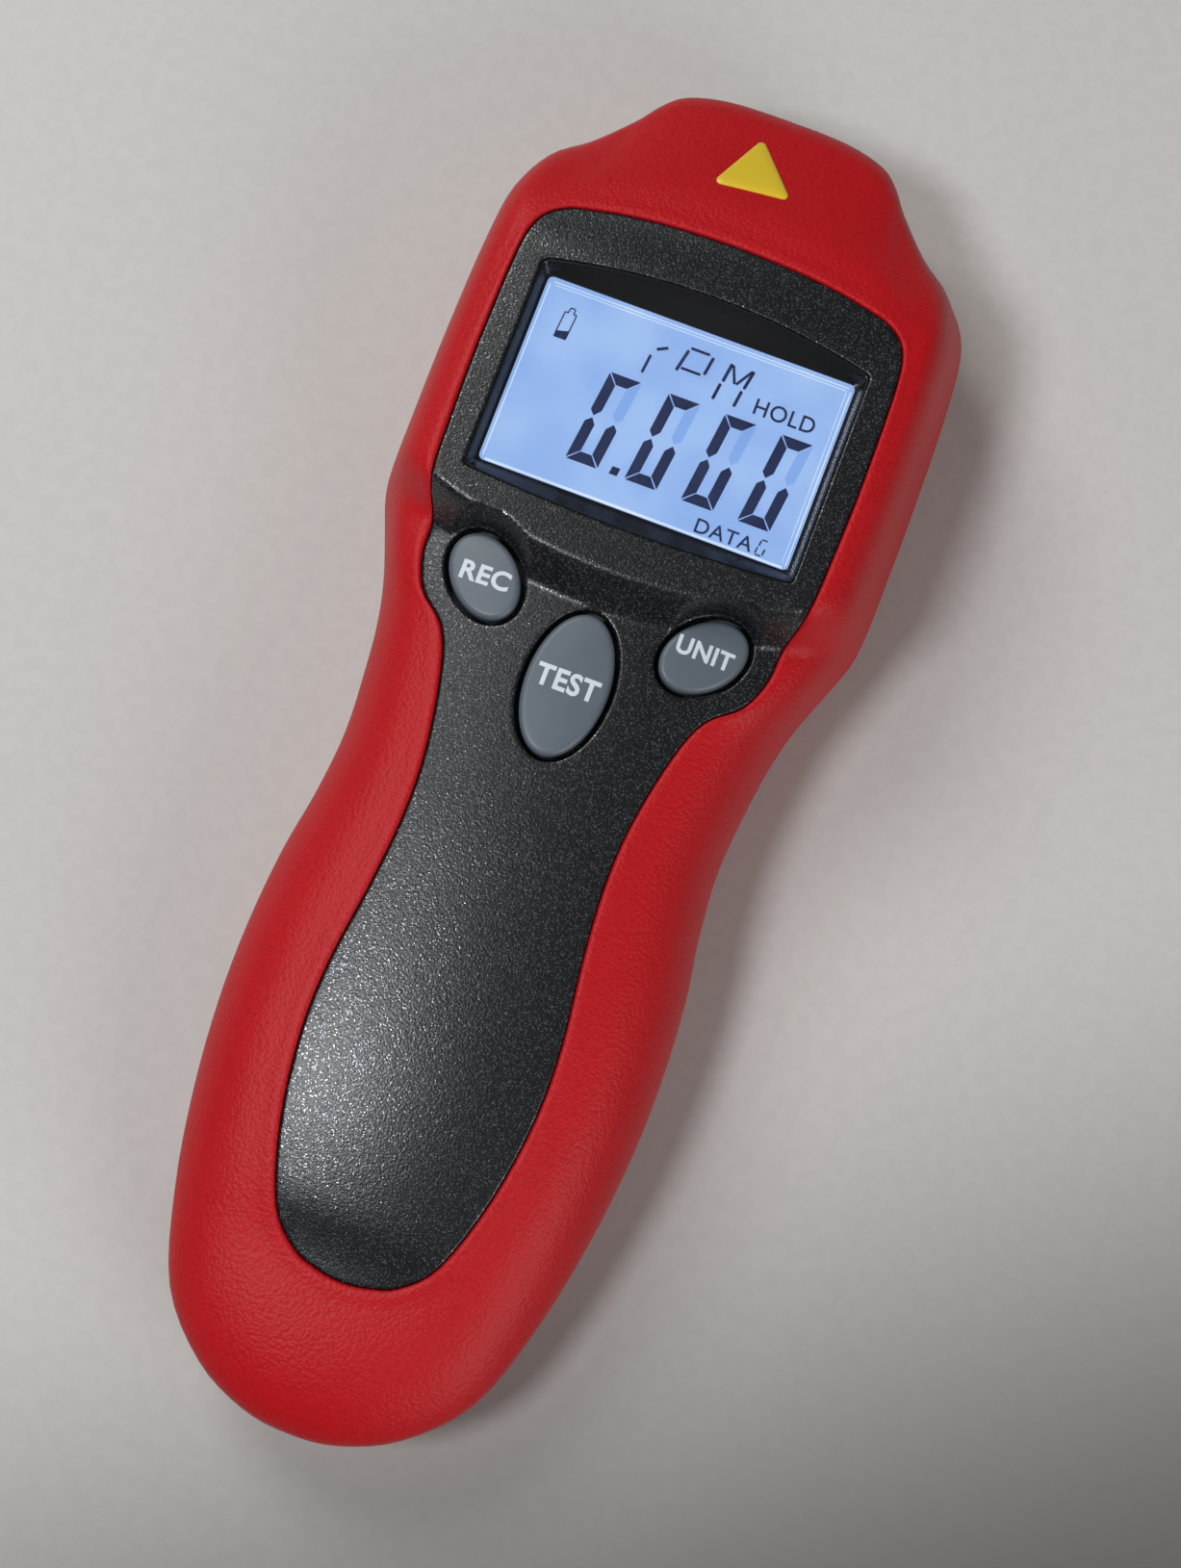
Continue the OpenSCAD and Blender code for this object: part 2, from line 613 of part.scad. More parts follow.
module lcd_frame() {
    inner_w = frame_w - 2 * frame_wall;
    inner_l = frame_l - 2 * frame_wall;
    shelf_t = frame_wall;
    shelf_rim = 3;
    color([0.85, 0.85, 0.83]) {
        difference() {
            block(-frame_w / 2, frame_w / 2, window_y - frame_l / 2, window_y + frame_l / 2,
                board_h, lens_z - lens_t);
            block(-inner_w / 2, inner_w / 2, window_y - inner_l / 2, window_y + inner_l / 2,
                shelf_z, lens_z);
            block(-inner_w / 2, inner_w / 2, window_y - inner_l / 2, window_y + inner_l / 2,
                board_h - over, shelf_z - shelf_t);
            block(-inner_w / 2 + shelf_rim, inner_w / 2 - shelf_rim, window_y - strip_from + shelf_rim,
                window_y + strip_from - shelf_rim, board_h, lens_z);
            for (s = [-1, 1]) translate([0, window_y + s * (strip_from + inner_l / 2) / 2, 0])
                block(-inner_w / 2, inner_w / 2, -(inner_l / 2 - strip_from) / 2, (inner_l / 2 - strip_from) / 2,
                    board_h, lens_z);
        }
    }
}

module contact_strips() {
    color([0.95, 0.55, 0.65]) for (s = [-1, 1])
        translate([-glass_w / 2 + strip_w, window_y + s * (strip_from + fit + strip_w / 2) - strip_w / 2, board_h])
            cube([glass_w - 2 * strip_w, strip_w, guide_z - board_h]);
}

// Half outline of the main board from its top, as shares of its half width and its length
board_shares = [[1, 0], [1, 0.455], [0.84, 0.52], [0.82, 0.66], [0.72, 0.70], [0.455, 0.74], [0.455, 1]];
board_half = [for (s = board_shares) [s.x * board_w / 2, board_y - s.y * board_l]];
function both_sides(half) = concat(half, [for (k = [len(half) - 1:-1:0]) mirrored(half[k])]);

module main_board() {
    color([0.06, 0.32, 0.18]) difference() {
        translate([0, 0, board_h - board_t]) linear_extrude(height = board_t) polygon(both_sides(board_half));
        for (p = board_screw_places) translate([p.x, p.y, board_h - board_t - over])
            cylinder(d = small_screw_d + 4 * fit, h = board_t + 2 * over, $fn = small_n);
    }
}

// Chips under the board: place on the board and size, x and y as shares of the board
chip_shares = [[-0.3, 0.42, 0.22, 0.16], [0.32, 0.40, 0.16, 0.10], [0.05, 0.62, 0.10, 0.08],
    [-0.25, 0.66, 0.12, 0.05], [0.36, 0.60, 0.08, 0.06]];
chip_t = 1.5;
module board_chips() {
    color([0.1, 0.1, 0.11]) for (s = chip_shares)
        translate([s[0] * board_w, board_y - s[1] * board_l, board_h - board_t - chip_t])
            block(-s[2] * board_w / 2, s[2] * board_w / 2, -s[3] * board_l / 2, s[3] * board_l / 2, 0, chip_t);
}

module board_screws() {
    color([0.75, 0.75, 0.77]) for (p = board_screw_places)
        translate([p.x, p.y, board_h - board_t - small_head_h]) {
            cylinder(r = small_head_r, h = small_head_h, $fn = small_n);
            cylinder(d = small_screw_d, h = small_head_h + board_t + small_screw_bite, $fn = small_n);
        }
}

// Rubber mat on the board under the keys
mat_shares = [[0.79, 0.485], [0.79, 0.66], [0.65, 0.71], [0.425, 0.755], [0.30, 0.87]];
mat_half = [for (s = mat_shares) [s.x * board_w / 2, board_y - s.y * board_l]];
module mat_hole(x, y, a, b, turn) {
    translate([x, y, 0]) rotate([0, 0, turn])
        ellipse_prism(stem_share * a + mat_hole_gap, stem_share * b + mat_hole_gap,
            board_h - over, board_h + mat_t + over, small_n);
}
module keypad_mat() {
    color([0.25, 0.27, 0.29]) difference() {
        translate([0, 0, board_h]) linear_extrude(height = mat_t) polygon(both_sides(mat_half));
        mat_hole(-side_key_x, side_key_y, side_key_a, side_key_b, -side_key_turn);
        mat_hole(side_key_x, side_key_y, side_key_a, side_key_b, side_key_turn);
        mat_hole(0, mid_key_y, mid_key_a, mid_key_b, 90);
    }
}

// Key: a cap that follows the crown, a collar under the panel and a stem over the board
module key(x, y, a, b, turn) {
    z = collar_z(x, y, a, b, turn);
    crown = handle_top(0, y) - handle_crown_r;
    color([0.36, 0.40, 0.44]) union() {
        intersection() {
            translate([x, y, 0]) rotate([0, 0, turn])
                ellipse_prism(a - key_gap, b - key_gap, z - key_collar, head_h);
            rod(handle_crown_r + key_proud, 0, crown, y - 2 * a, y + 2 * a, 4 * round_n);
        }
        translate([x, y, 0]) rotate([0, 0, turn]) {
            ellipse_prism(a + key_collar, b + key_collar, z - key_collar, z);
            ellipse_prism(stem_share * a, stem_share * b, board_h + key_travel + key_seat, z - key_collar / 2);
        }
    }
}
module memory_key() key(-side_key_x, side_key_y, side_key_a, side_key_b, -side_key_turn);
module mode_key() key(side_key_x, side_key_y, side_key_a, side_key_b, side_key_turn);
module measure_key() key(0, mid_key_y, mid_key_a, mid_key_b, 90);

// Black block in the nose, with the socket for a contact tip below and the optical window above
optic_slot_w = optic_pitch + optic_d - window_margin / 2;
optic_slot_h = optic_d - window_margin / 2;
module nose_insert() {
    color([0.07, 0.07, 0.08]) difference() {
        rounded_bar(insert_w, insert_h, 2.1, 0, insert_z + insert_h / 2, insert_y, face_y);
        rod(socket_r, 0, spindle_h, socket_y, face_y + over);
        rod(collar_r + opening_gap, 0, spindle_h, insert_y - over, socket_y + over);
        rounded_bar(optic_slot_w, optic_slot_h, optic_slot_h / 3, 0, optic_h, insert_y - over, face_y + over);
        rounded_bar(optic_slot_w + 2 * fit + window_rim, optic_slot_h + 2 * fit + window_rim, optic_slot_h / 3,
            0, optic_h, face_y - window_t, face_y + over);
    }
}
window_t = 1.2;
window_rim = 0.8;
module sensor_window() {
    color([0.25, 0.02, 0.05, 0.8]) rounded_bar(optic_slot_w + window_rim, optic_slot_h + window_rim,
        optic_slot_h / 3, 0, optic_h, face_y - window_t, face_y - fit);
}

module optics_block() {
    color([0.12, 0.12, 0.13]) difference() {
        block(-optics_w / 2, optics_w / 2, optics_y, insert_y, optic_h - optic_r - optic_wall,
            optic_h + optic_r + optics_top);
        for (s = [-1, 1]) rod(optic_r + fit, s * optic_pitch / 2, optic_h, optics_y - over, insert_y + over, small_n);
    }
}

lens_bore_r = 2.2;
lens_bore_l = 3;
module laser_module() {
    color([0.80, 0.62, 0.28]) difference() {
        rod(optic_r, -optic_pitch / 2, optic_h, optics_y + seat, insert_y - seat, small_n);
        rod(lens_bore_r, -optic_pitch / 2, optic_h, insert_y - seat - lens_bore_l, insert_y + over, small_n);
    }
}
module laser_lens() {
    color([0.9, 0.9, 0.95, 0.6]) rod(lens_bore_r - fit, -optic_pitch / 2, optic_h,
        insert_y - seat - lens_bore_l, insert_y - seat - lens_bore_l / 2, small_n);
}
sensor_r = 2.5;
sensor_l = 4;
module light_sensor() {
    color([0.15, 0.05, 0.08]) {
        rod(optic_r, optic_pitch / 2, optic_h, optics_y + seat, optics_y + sensor_l / 3, small_n);
        rod(sensor_r, optic_pitch / 2, optic_h, optics_y + sensor_l / 4, optics_y + sensor_l, small_n);
        translate([optic_pitch / 2, optics_y + sensor_l, optic_h]) sphere(r = sensor_r, $fn = small_n);
    }
}
module sensor_lens() {
    color([0.9, 0.9, 0.95, 0.6]) rod(optic_r, optic_pitch / 2, optic_h, insert_y - seat - lens_bore_l / 2,
        insert_y - seat, small_n);
}

sensor_board_w = 20;
sensor_board_z0 = spindle_h + housing_r + seat;
sensor_board_rise = 3.6;
sensor_board_z1 = optic_h + sensor_board_rise;
module sensor_board() {
    color([0.06, 0.32, 0.18]) block(-sensor_board_w / 2, sensor_board_w / 2, optics_y - board_t, optics_y,
        sensor_board_z0, sensor_board_z1);
}
link_w = 10;
link_h = 2.5;
link_lap = 2.6;
module board_link() {
    color([0.1, 0.1, 0.11]) block(-link_w / 2, link_w / 2, board_y - link_lap, optics_y - board_t,
        board_h - board_t - link_h, board_h - board_t);
}

module spindle_housing() {
    color([0.62, 0.64, 0.66]) difference() {
        rod(housing_r, 0, spindle_h, rear_bearing_y, insert_y);
        rod(bearing_d / 2 + fit / 2, 0, spindle_h, rear_bearing_y - over, rear_bearing_y + bearing_w);
        rod(bearing_d / 2 + fit / 2, 0, spindle_h, front_bearing_y, insert_y + over);
        rod(bearing_d / 2 - spindle_end, 0, spindle_h, rear_bearing_y, insert_y);
    }
}
module bearing(y) {
    color([0.78, 0.79, 0.81]) difference() {
        rod(bearing_d / 2, 0, spindle_h, y, y + bearing_w);
        rod(spindle_d / 2 + spindle_clear, 0, spindle_h, y - over, y + bearing_w + over);
    }
}
module front_bearing() bearing(front_bearing_y);
module rear_bearing() bearing(rear_bearing_y);

groove_depth = 0.5;
// Step by which the free end is thinner, so that a contact tip stops at the collar
tip_step = 0.1;
module contact_spindle() {
    color([0.82, 0.83, 0.85]) difference() {
        union() {
            rod(spindle_d / 2, 0, spindle_h, spindle_y, insert_y + 2 * thrust_gap);
            rod(spindle_d / 2 - tip_step, 0, spindle_h, insert_y + thrust_gap, free_y);
            rod(collar_r, 0, spindle_h, insert_y + thrust_gap, socket_y - 2 * thrust_gap);
        }
        difference() {
            rod(spindle_d / 2 + over, 0, spindle_h, clip_y - fit, clip_y + clip_t + fit);
            rod(spindle_d / 2 - groove_depth, 0, spindle_h, clip_y - over, clip_y + clip_t + over);
        }
    }
}
clip_w = 1.4;
module retaining_clip() {
    slot_r = spindle_d / 2 - groove_depth + fit;
    color([0.3, 0.31, 0.33]) difference() {
        rod(slot_r + clip_w, 0, spindle_h, clip_y, clip_y + clip_t);
        rod(slot_r, 0, spindle_h, clip_y - over, clip_y + clip_t + over);
        block(-slot_r, slot_r, clip_y - over, clip_y + clip_t + over, spindle_h - spindle_d - over, spindle_h);
    }
}

slot_w = 1.2;
slot_l = 2.4;
slot_rim = 0.8;
module slotted_disc() {
    color([0.14, 0.14, 0.15]) difference() {
        union() {
            rod(hub_r, 0, spindle_h, hub_y, hub_y + hub_l);
            rod(disc_d / 2, 0, spindle_h, hub_y, hub_y + disc_t);
        }
        rod(spindle_d / 2 + fit / 2, 0, spindle_h, hub_y - over, hub_y + hub_l + over);
        for (k = [0:disc_slots - 1]) translate([0, hub_y - over, spindle_h]) rotate([0, 360 * k / disc_slots, 0])
            translate([-slot_w / 2, 0, disc_d / 2 - slot_rim - slot_l]) cube([slot_w, disc_t + 2 * over, slot_l]);
    }
}

pickup_w = 6;
pickup_l = 7;
pickup_gap = 0.8;
module slot_pickup() {
    mid = hub_y + disc_t / 2;
    color([0.1, 0.1, 0.11]) difference() {
        block(-pickup_w / 2, pickup_w / 2, mid - pickup_l / 2, mid + pickup_l / 2,
            spindle_h + hub_r + pickup_gap, board_h - board_t);
        block(-pickup_w, pickup_w, mid - disc_t / 2 - pickup_gap, mid + disc_t / 2 + pickup_gap,
            spindle_h, spindle_h + disc_d / 2 + pickup_gap);
    }
}

// Moulded tray over the battery, open towards the door, with a boss for the door's screw
module battery_tray() {
    w = cell_w / 2 + tray_gap;
    lead_notch = 3.5;
    color([0.2, 0.21, 0.22]) difference() {
        union() {
            block(-w - tray_wall, w + tray_wall, tray_y0 - tray_wall, tray_y1 + tray_wall, wall_t, tray_top + tray_wall);
            block(-w - tray_wall - flange_w, w + tray_wall + flange_w, tray_y0 - tray_wall - flange_w / 2,
                tray_y1 + tray_wall + flange_w, wall_t, wall_t + tray_wall);
            block(-door_w / 2, door_w / 2, door_y0 - flange_w, tray_y0, wall_t, wall_t + tray_wall);
            translate([0, door_screw_y, wall_t]) cylinder(r = post_r + post_wall, h = cell_t / 3, $fn = small_n);
        }
        block(-w, w, tray_y0, tray_y1, wall_t - over, tray_top);
        block(-lead_notch, lead_notch, tray_y1 - over, tray_y1 + tray_wall + over, cell_z + cell_t / 2, tray_top);
        translate([0, door_screw_y, wall_t - over])
            cylinder(d = small_screw_d + 2 * fit, h = over + cell_t / 3 - post_wall, $fn = small_n);
    }
}

terminal_pitch = 12.7;
terminal_r = 2.8;
cell_edge = 2;
module battery() {
    color([0.75, 0.76, 0.78]) {
        rounded_bar(cell_w, cell_t, cell_edge, 0, cell_z + cell_t / 2, cell_end, cell_y - terminal_l);
        for (s = [-1, 1]) rod(terminal_r, s * terminal_pitch / 2, cell_z + cell_t / 2,
            cell_y - terminal_l - fit, cell_y - fit, small_n);
    }
}
snap_t = 2.6;
snap_h = 13;
module battery_snap() {
    color([0.08, 0.08, 0.09]) rounded_bar(cell_w - 1, snap_h, 2 * cell_edge, 0, cell_z + cell_t / 2, cell_y, cell_y + snap_t);
}

// Two leads from the snap to the board: one round tube along each route, in the plane of its x
lead_r = 0.6;
lead_x = 1.6;
lead_sides = 8;
lead_route = [[cell_y + snap_t, cell_z + 0.72 * cell_t], [cell_y + 1.4 * snap_t, cell_z + 0.72 * cell_t],
    [tray_y1, cell_z + 0.76 * cell_t], [tray_y1 + 2 * tray_wall, cell_z + 0.86 * cell_t],
    [board_y - board_l + 3 * lead_r, board_h - board_t - 3 * lead_r],
    [board_y - board_l + 4 * lead_r, board_h - board_t]];
function lead_dir(k) =
    let (d = lead_route[min(k + 1, len(lead_route) - 1)] - lead_route[max(k - 1, 0)]) d / norm(d);
function lead_ring(k, x) =
    let (c = lead_route[k], d = k == len(lead_route) - 1 ? [0, 1] : (k == 0 ? [1, 0] : lead_dir(k)))
    [for (q = [0:lead_sides - 1]) let (u = lead_r * cos(360 * q / lead_sides), v = lead_r * sin(360 * q / lead_sides))
        [x + u, c.x - v * d.y, c.y + v * d.x]];
module lead(x) {
    m = len(lead_route);
    n = lead_sides;
    points = flat1([for (k = [0:m - 1]) lead_ring(k, x)]);
    sides = [for (r = [0:m - 2]) for (i = [0:n - 1])
        let (k = (i + 1) % n) each pair(r * n + i, (r + 1) * n + i, (r + 1) * n + k, r * n + k, i, n)];
    polyhedron(points = points, faces = concat([[for (i = [0:n - 1]) i]], sides,
        [[for (i = [n - 1:-1:0]) (m - 1) * n + i]]), convexity = 4);
}
module battery_leads() {
    color([0.6, 0.1, 0.1]) lead(-lead_x);
    color([0.1, 0.1, 0.1]) lead(lead_x);
}

// Door with grip grooves, a foam pad and one screw
groove_w = 1.2;
groove_n = 5;
module battery_door() {
    color([0.17, 0.18, 0.19]) difference() {
        block(-door_w / 2, door_w / 2, door_y0, door_y1, door_lift, door_lift + door_t);
        for (k = [1:groove_n]) translate([-door_w / 4, door_y1 - (2 * k + 1) * groove_w, door_lift - over])
            cube([door_w / 2, groove_w, over + door_t / 3]);
        translate([0, door_screw_y, door_lift - over]) {
            cylinder(r = small_head_r + 2 * fit, h = over + door_t / 2, $fn = small_n);
            cylinder(d = small_screw_d + 4 * fit, h = door_t + 2 * over, $fn = small_n);
        }
    }
}
module door_pad() {
    color([0.1, 0.1, 0.1]) block(-cell_w / 3, cell_w / 3, cell_end + flange_w, cell_y - 2 * flange_w,
        door_lift + door_t, door_lift + door_t + pad_t);
}
module door_screw() {
    color([0.75, 0.75, 0.77]) translate([0, door_screw_y, door_lift]) {
        cylinder(r = small_head_r, h = door_t / 2, $fn = small_n);
        cylinder(d = small_screw_d, h = door_t + cell_t / 4, $fn = small_n);
    }
}

cross_w = 0.7;
module case_screws() {
    color([0.7, 0.7, 0.72]) for (p = case_screw_places) translate([p.x, p.y, head_seat_h - screw_head_h])
        difference() {
            union() {
                cylinder(d = screw_head_d, h = screw_head_h, $fn = small_n);
                cylinder(d = screw_d, h = screw_head_h + screw_l, $fn = small_n);
            }
            for (t = [0, 90]) rotate([0, 0, t])
                translate([-screw_head_d / 3, -cross_w / 2, -over]) cube([screw_head_d / 1.5, cross_w, over + screw_head_h / 2]);
        }
}

// Plain domed triangle on the slope of the nose
badge_side = 10.7;
badge_t = 0.7;
badge_r = 0.8;
badge_rows = [2, 3];
module nose_badge() {
    a = flank(0, badge_rows[0], 0);
    b = flank(0, badge_rows[1], 0);
    mid = (a + b) / 2;
    color([0.90, 0.80, 0.10]) translate([0, mid.y, mid.z + fit]) rotate([-atan2(a.z - b.z, b.y - a.y), 0, 0])
        linear_extrude(height = badge_t) hull() for (k = [0:2])
            rotate([0, 0, 90 + 120 * k]) translate([badge_side / sqrt(3) - 2 * badge_r, 0]) circle(r = badge_r, $fn = small_n);
}

front_case();
front_grip();
rear_case();
rear_grip();
display_bezel();
screen_lens();
lcd_glass();
light_guide();
lcd_frame();
contact_strips();
main_board();
board_chips();
board_screws();
keypad_mat();
memory_key();
measure_key();
mode_key();
nose_insert();
sensor_window();
optics_block();
laser_module();
laser_lens();
light_sensor();
sensor_lens();
sensor_board();
board_link();
spindle_housing();
contact_spindle();
front_bearing();
rear_bearing();
retaining_clip();
slotted_disc();
slot_pickup();
battery_tray();
battery();
battery_snap();
battery_leads();
battery_door();
door_pad();
door_screw();
case_screws();
nose_badge();
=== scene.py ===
import json
import math

import bpy
import numpy as np
from mathutils import Matrix, Vector
from mathutils.geometry import delaunay_2d_cdt


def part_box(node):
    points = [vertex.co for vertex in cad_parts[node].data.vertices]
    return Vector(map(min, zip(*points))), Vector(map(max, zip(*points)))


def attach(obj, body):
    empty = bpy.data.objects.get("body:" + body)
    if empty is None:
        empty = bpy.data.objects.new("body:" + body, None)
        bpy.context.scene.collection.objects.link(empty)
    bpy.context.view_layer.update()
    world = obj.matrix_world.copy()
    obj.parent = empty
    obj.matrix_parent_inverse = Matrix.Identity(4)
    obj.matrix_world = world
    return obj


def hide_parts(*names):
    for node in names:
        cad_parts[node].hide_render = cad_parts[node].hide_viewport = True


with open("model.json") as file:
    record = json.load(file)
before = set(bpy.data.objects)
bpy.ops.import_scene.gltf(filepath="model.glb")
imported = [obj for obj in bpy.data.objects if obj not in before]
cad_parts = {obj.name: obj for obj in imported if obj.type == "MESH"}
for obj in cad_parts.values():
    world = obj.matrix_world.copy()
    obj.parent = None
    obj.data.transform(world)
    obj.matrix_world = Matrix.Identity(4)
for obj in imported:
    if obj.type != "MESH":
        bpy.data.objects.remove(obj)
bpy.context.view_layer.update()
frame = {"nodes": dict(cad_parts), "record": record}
mm = 0.001
print("frame loaded")


# Camera: fitted to the photograph, above the handle and turned against the clock
view = {
    "target": (7.44, -0.35, 17.0), "distance": 430.0, "tiltAcross": 3.438, "tiltAlong": 7.5, "roll": 20.977,
    "focalPixels": 2988.5, "imageHeight": 1629, "sensorHeight": 24.0, "clipStart": 0.01, "clipEnd": 20,
}


def addCamera():
    lean = (math.tan(math.radians(view["tiltAcross"])), -math.tan(math.radians(view["tiltAlong"])))
    towards = Vector((*lean, 1)).normalized()
    flat = Vector((0, 1, 0)).cross(towards).normalized()
    rise = towards.cross(flat)
    turn = math.radians(view["roll"])
    right = math.cos(turn) * flat + math.sin(turn) * rise
    up = -math.sin(turn) * flat + math.cos(turn) * rise
    place = (Vector(view["target"]) + view["distance"] * towards) * mm
    data = bpy.data.cameras.new("camera")
    data.sensor_fit = "VERTICAL"
    data.sensor_height = view["sensorHeight"]
    data.lens = view["focalPixels"] * view["sensorHeight"] / view["imageHeight"]
    data.clip_start = view["clipStart"]
    data.clip_end = view["clipEnd"]
    camera = bpy.data.objects.new("camera", data)
    camera.matrix_world = Matrix.Translation(place) @ Matrix((right, up, towards)).transposed().to_4x4()
    bpy.context.scene.collection.objects.link(camera)
    bpy.context.scene.camera = camera


# Studio: world light, three soft lamps and a pale floor
studio = {
    "worldColour": (0.93, 0.96, 1.0),
    "worldStrength": 0.10,
    "backgroundColour": (0.50, 0.485, 0.47),
    "lamps": [
        {"name": "keyLamp", "place": (-0.45, 0.36, 0.62), "size": 0.40, "power": 3.1, "colour": (1.0, 0.985, 0.96)},
        {"name": "topLamp", "place": (-0.31, -0.22, 0.82), "size": 0.22, "power": 3.7, "colour": (0.96, 0.98, 1.0)},
        {"name": "sideLamp", "place": (0.55, -0.35, 0.35), "size": 0.5, "power": 2.4, "colour": (1.0, 0.99, 0.97)},
    ],
    "lampAim": (0, 0, 0.015),
    "floorSize": 1.4,
    "floorDrop": 0.0001,
}


def addWorld():
    world = bpy.data.worlds.new("studioWorld")
    world.use_nodes = True
    tree = world.node_tree
    light = tree.nodes["Background"]
    light.inputs["Color"].default_value = (*studio["worldColour"], 1)
    light.inputs["Strength"].default_value = studio["worldStrength"]
    # The pale background is seen by the camera alone and lights nothing
    backdrop = tree.nodes.new("ShaderNodeBackground")
    backdrop.inputs["Color"].default_value = (*studio["backgroundColour"], 1)
    rays = tree.nodes.new("ShaderNodeLightPath")
    choice = tree.nodes.new("ShaderNodeMixShader")
    tree.links.new(rays.outputs["Is Camera Ray"], choice.inputs[0])
    tree.links.new(light.outputs[0], choice.inputs[1])
    tree.links.new(backdrop.outputs[0], choice.inputs[2])
    tree.links.new(choice.outputs[0], tree.nodes["World Output"].inputs["Surface"])
    bpy.context.scene.world = world


def addStudio():
    addWorld()
    for lamp in studio["lamps"]:
        data = bpy.data.lights.new(lamp["name"], "AREA")
        data.shape = "DISK"
        data.size = lamp["size"]
        data.energy = lamp["power"]
        data.color = lamp["colour"]
        lampObject = bpy.data.objects.new(lamp["name"], data)
        lampObject.location = lamp["place"]
        aim = Vector(studio["lampAim"]) - Vector(lamp["place"])
        lampObject.rotation_euler = aim.to_track_quat("-Z", "Y").to_euler()
        bpy.context.scene.collection.objects.link(lampObject)
    bpy.ops.object.select_all(action="DESELECT")
    bpy.ops.mesh.primitive_plane_add(size=studio["floorSize"], location=(0, 0, -studio["floorDrop"]))
    floor = bpy.context.object
    floor.name = "floor"
    floor.data.materials.append(floorFinish())


# Shader helpers
def newMaterial(name, values):
    material = bpy.data.materials.new(name)
    material.use_nodes = True
    shader = material.node_tree.nodes["Principled BSDF"]
    for socket, value in values.items():
        shader.inputs[socket].default_value = value
    return material, material.node_tree, shader


def addNode(tree, kind, vector=None, **settings):
    # Each setting is the value of an input, or a property of the node
    node = tree.nodes.new(kind)
    for name, value in settings.items():
        if name in node.inputs.keys():
            node.inputs[name].default_value = value
        else:
            setattr(node, name, value)
    if vector is not None:
        tree.links.new(vector, node.inputs["Vector"])
    return node


def addNoise(tree, vector, target=None, **settings):
    noise = addNode(tree, "ShaderNodeTexNoise", vector, **settings)
    if target:
        tree.links.new(noise.outputs["Fac"], target)
    return noise


def newGroup(name, size, outputs):
    # Every shared effect takes a vector and the size of its grain, and puts out masks
    group = bpy.data.node_groups.new(name, "ShaderNodeTree")
    group.interface.new_socket(name="Vector", in_out="INPUT", socket_type="NodeSocketVector")
    sizeSocket = group.interface.new_socket(name="Size", in_out="INPUT", socket_type="NodeSocketFloat")
    sizeSocket.default_value = size
    for output in outputs:
        group.interface.new_socket(name=output, in_out="OUTPUT", socket_type="NodeSocketFloat")
    given, made = group.nodes.new("NodeGroupInput"), group.nodes.new("NodeGroupOutput")
    inverse = addNode(group, "ShaderNodeMath", operation="DIVIDE")
    inverse.inputs[0].default_value = 1.0
    group.links.new(given.outputs["Size"], inverse.inputs[1])
    place = addNode(group, "ShaderNodeVectorMath", operation="SCALE")
    group.links.new(given.outputs["Vector"], place.inputs[0])
    group.links.new(inverse.outputs[0], place.inputs["Scale"])
    return group, place.outputs[0], made.inputs


def placeGroup(tree, group, size):
    node = tree.nodes.new("ShaderNodeGroup")
    node.node_tree = group
    node.inputs["Size"].default_value = size
    coordinates = tree.nodes.new("ShaderNodeTexCoord")
    tree.links.new(coordinates.outputs["Object"], node.inputs["Vector"])
    return node


def mixColours(tree, factor, first, second):
    mix = tree.nodes.new("ShaderNodeMix")
    mix.data_type = "RGBA"
    tree.links.new(factor, mix.inputs["Factor"])
    for socket, value in ((mix.inputs[6], first), (mix.inputs[7], second)):
        if hasattr(value, "default_value"):
            tree.links.new(value, socket)
        else:
            socket.default_value = (*value, 1)
    return mix.outputs[2]


def addBump(tree, shader, height, strength, distance):
    bump = addNode(tree, "ShaderNodeBump", Strength=strength, Distance=distance)
    tree.links.new(height, bump.inputs["Height"])
    tree.links.new(bump.outputs["Normal"], shader.inputs["Normal"])


def steps(tree, value, low, high):
    ramp = addNode(tree, "ShaderNodeMapRange", interpolation_type="SMOOTHSTEP")
    ramp.inputs["From Min"].default_value = low
    ramp.inputs["From Max"].default_value = high
    tree.links.new(value, ramp.inputs["Value"])
    return ramp.outputs["Result"]


def drive(tree, mask, low, high, socket):
    # The mask's 0 gives the socket the low value, its 1 the high one
    ramp = tree.nodes.new("ShaderNodeMapRange")
    ramp.inputs["To Min"].default_value = low
    ramp.inputs["To Max"].default_value = high
    tree.links.new(mask, ramp.inputs["Value"])
    tree.links.new(ramp.outputs["Result"], socket)


# Shared effects
pebble = {"warp": 0.9, "fineShare": 0.35, "creaseFrom": 0.35, "creaseTo": 0.75}


def pebbleGroup():
    group, place, made = newGroup("pebbleSkin", 0.0006, ("Height", "Crease", "Cloud"))
    warp = addNoise(group, place, Scale=0.7, Detail=2.0)
    shift = addNode(group, "ShaderNodeVectorMath", operation="MULTIPLY_ADD")
    group.links.new(warp.outputs["Color"], shift.inputs[0])
    shift.inputs[1].default_value = (pebble["warp"],) * 3
    group.links.new(place, shift.inputs[2])
    cells = addNode(group, "ShaderNodeTexVoronoi", shift.outputs[0], feature="SMOOTH_F1", Scale=1.0, Smoothness=0.6)
    add = addNode(group, "ShaderNodeMath", operation="MULTIPLY_ADD")
    addNoise(group, place, add.inputs[0], Scale=3.0, Detail=3.0)
    add.inputs[1].default_value = pebble["fineShare"]
    flip = addNode(group, "ShaderNodeMath", operation="SUBTRACT")
    flip.inputs[0].default_value = 1.0
    group.links.new(cells.outputs["Distance"], flip.inputs[1])
    group.links.new(flip.outputs[0], add.inputs[2])
    group.links.new(add.outputs[0], made["Height"])
    # Crease mask: the valleys between the pebbles, where the rubber gets its painted shade
    creaseShade = steps(group, cells.outputs["Distance"], pebble["creaseFrom"], pebble["creaseTo"])
    group.links.new(creaseShade, made["Crease"])
    addNoise(group, place, made["Cloud"], Scale=0.03, Detail=3.0)
    return group


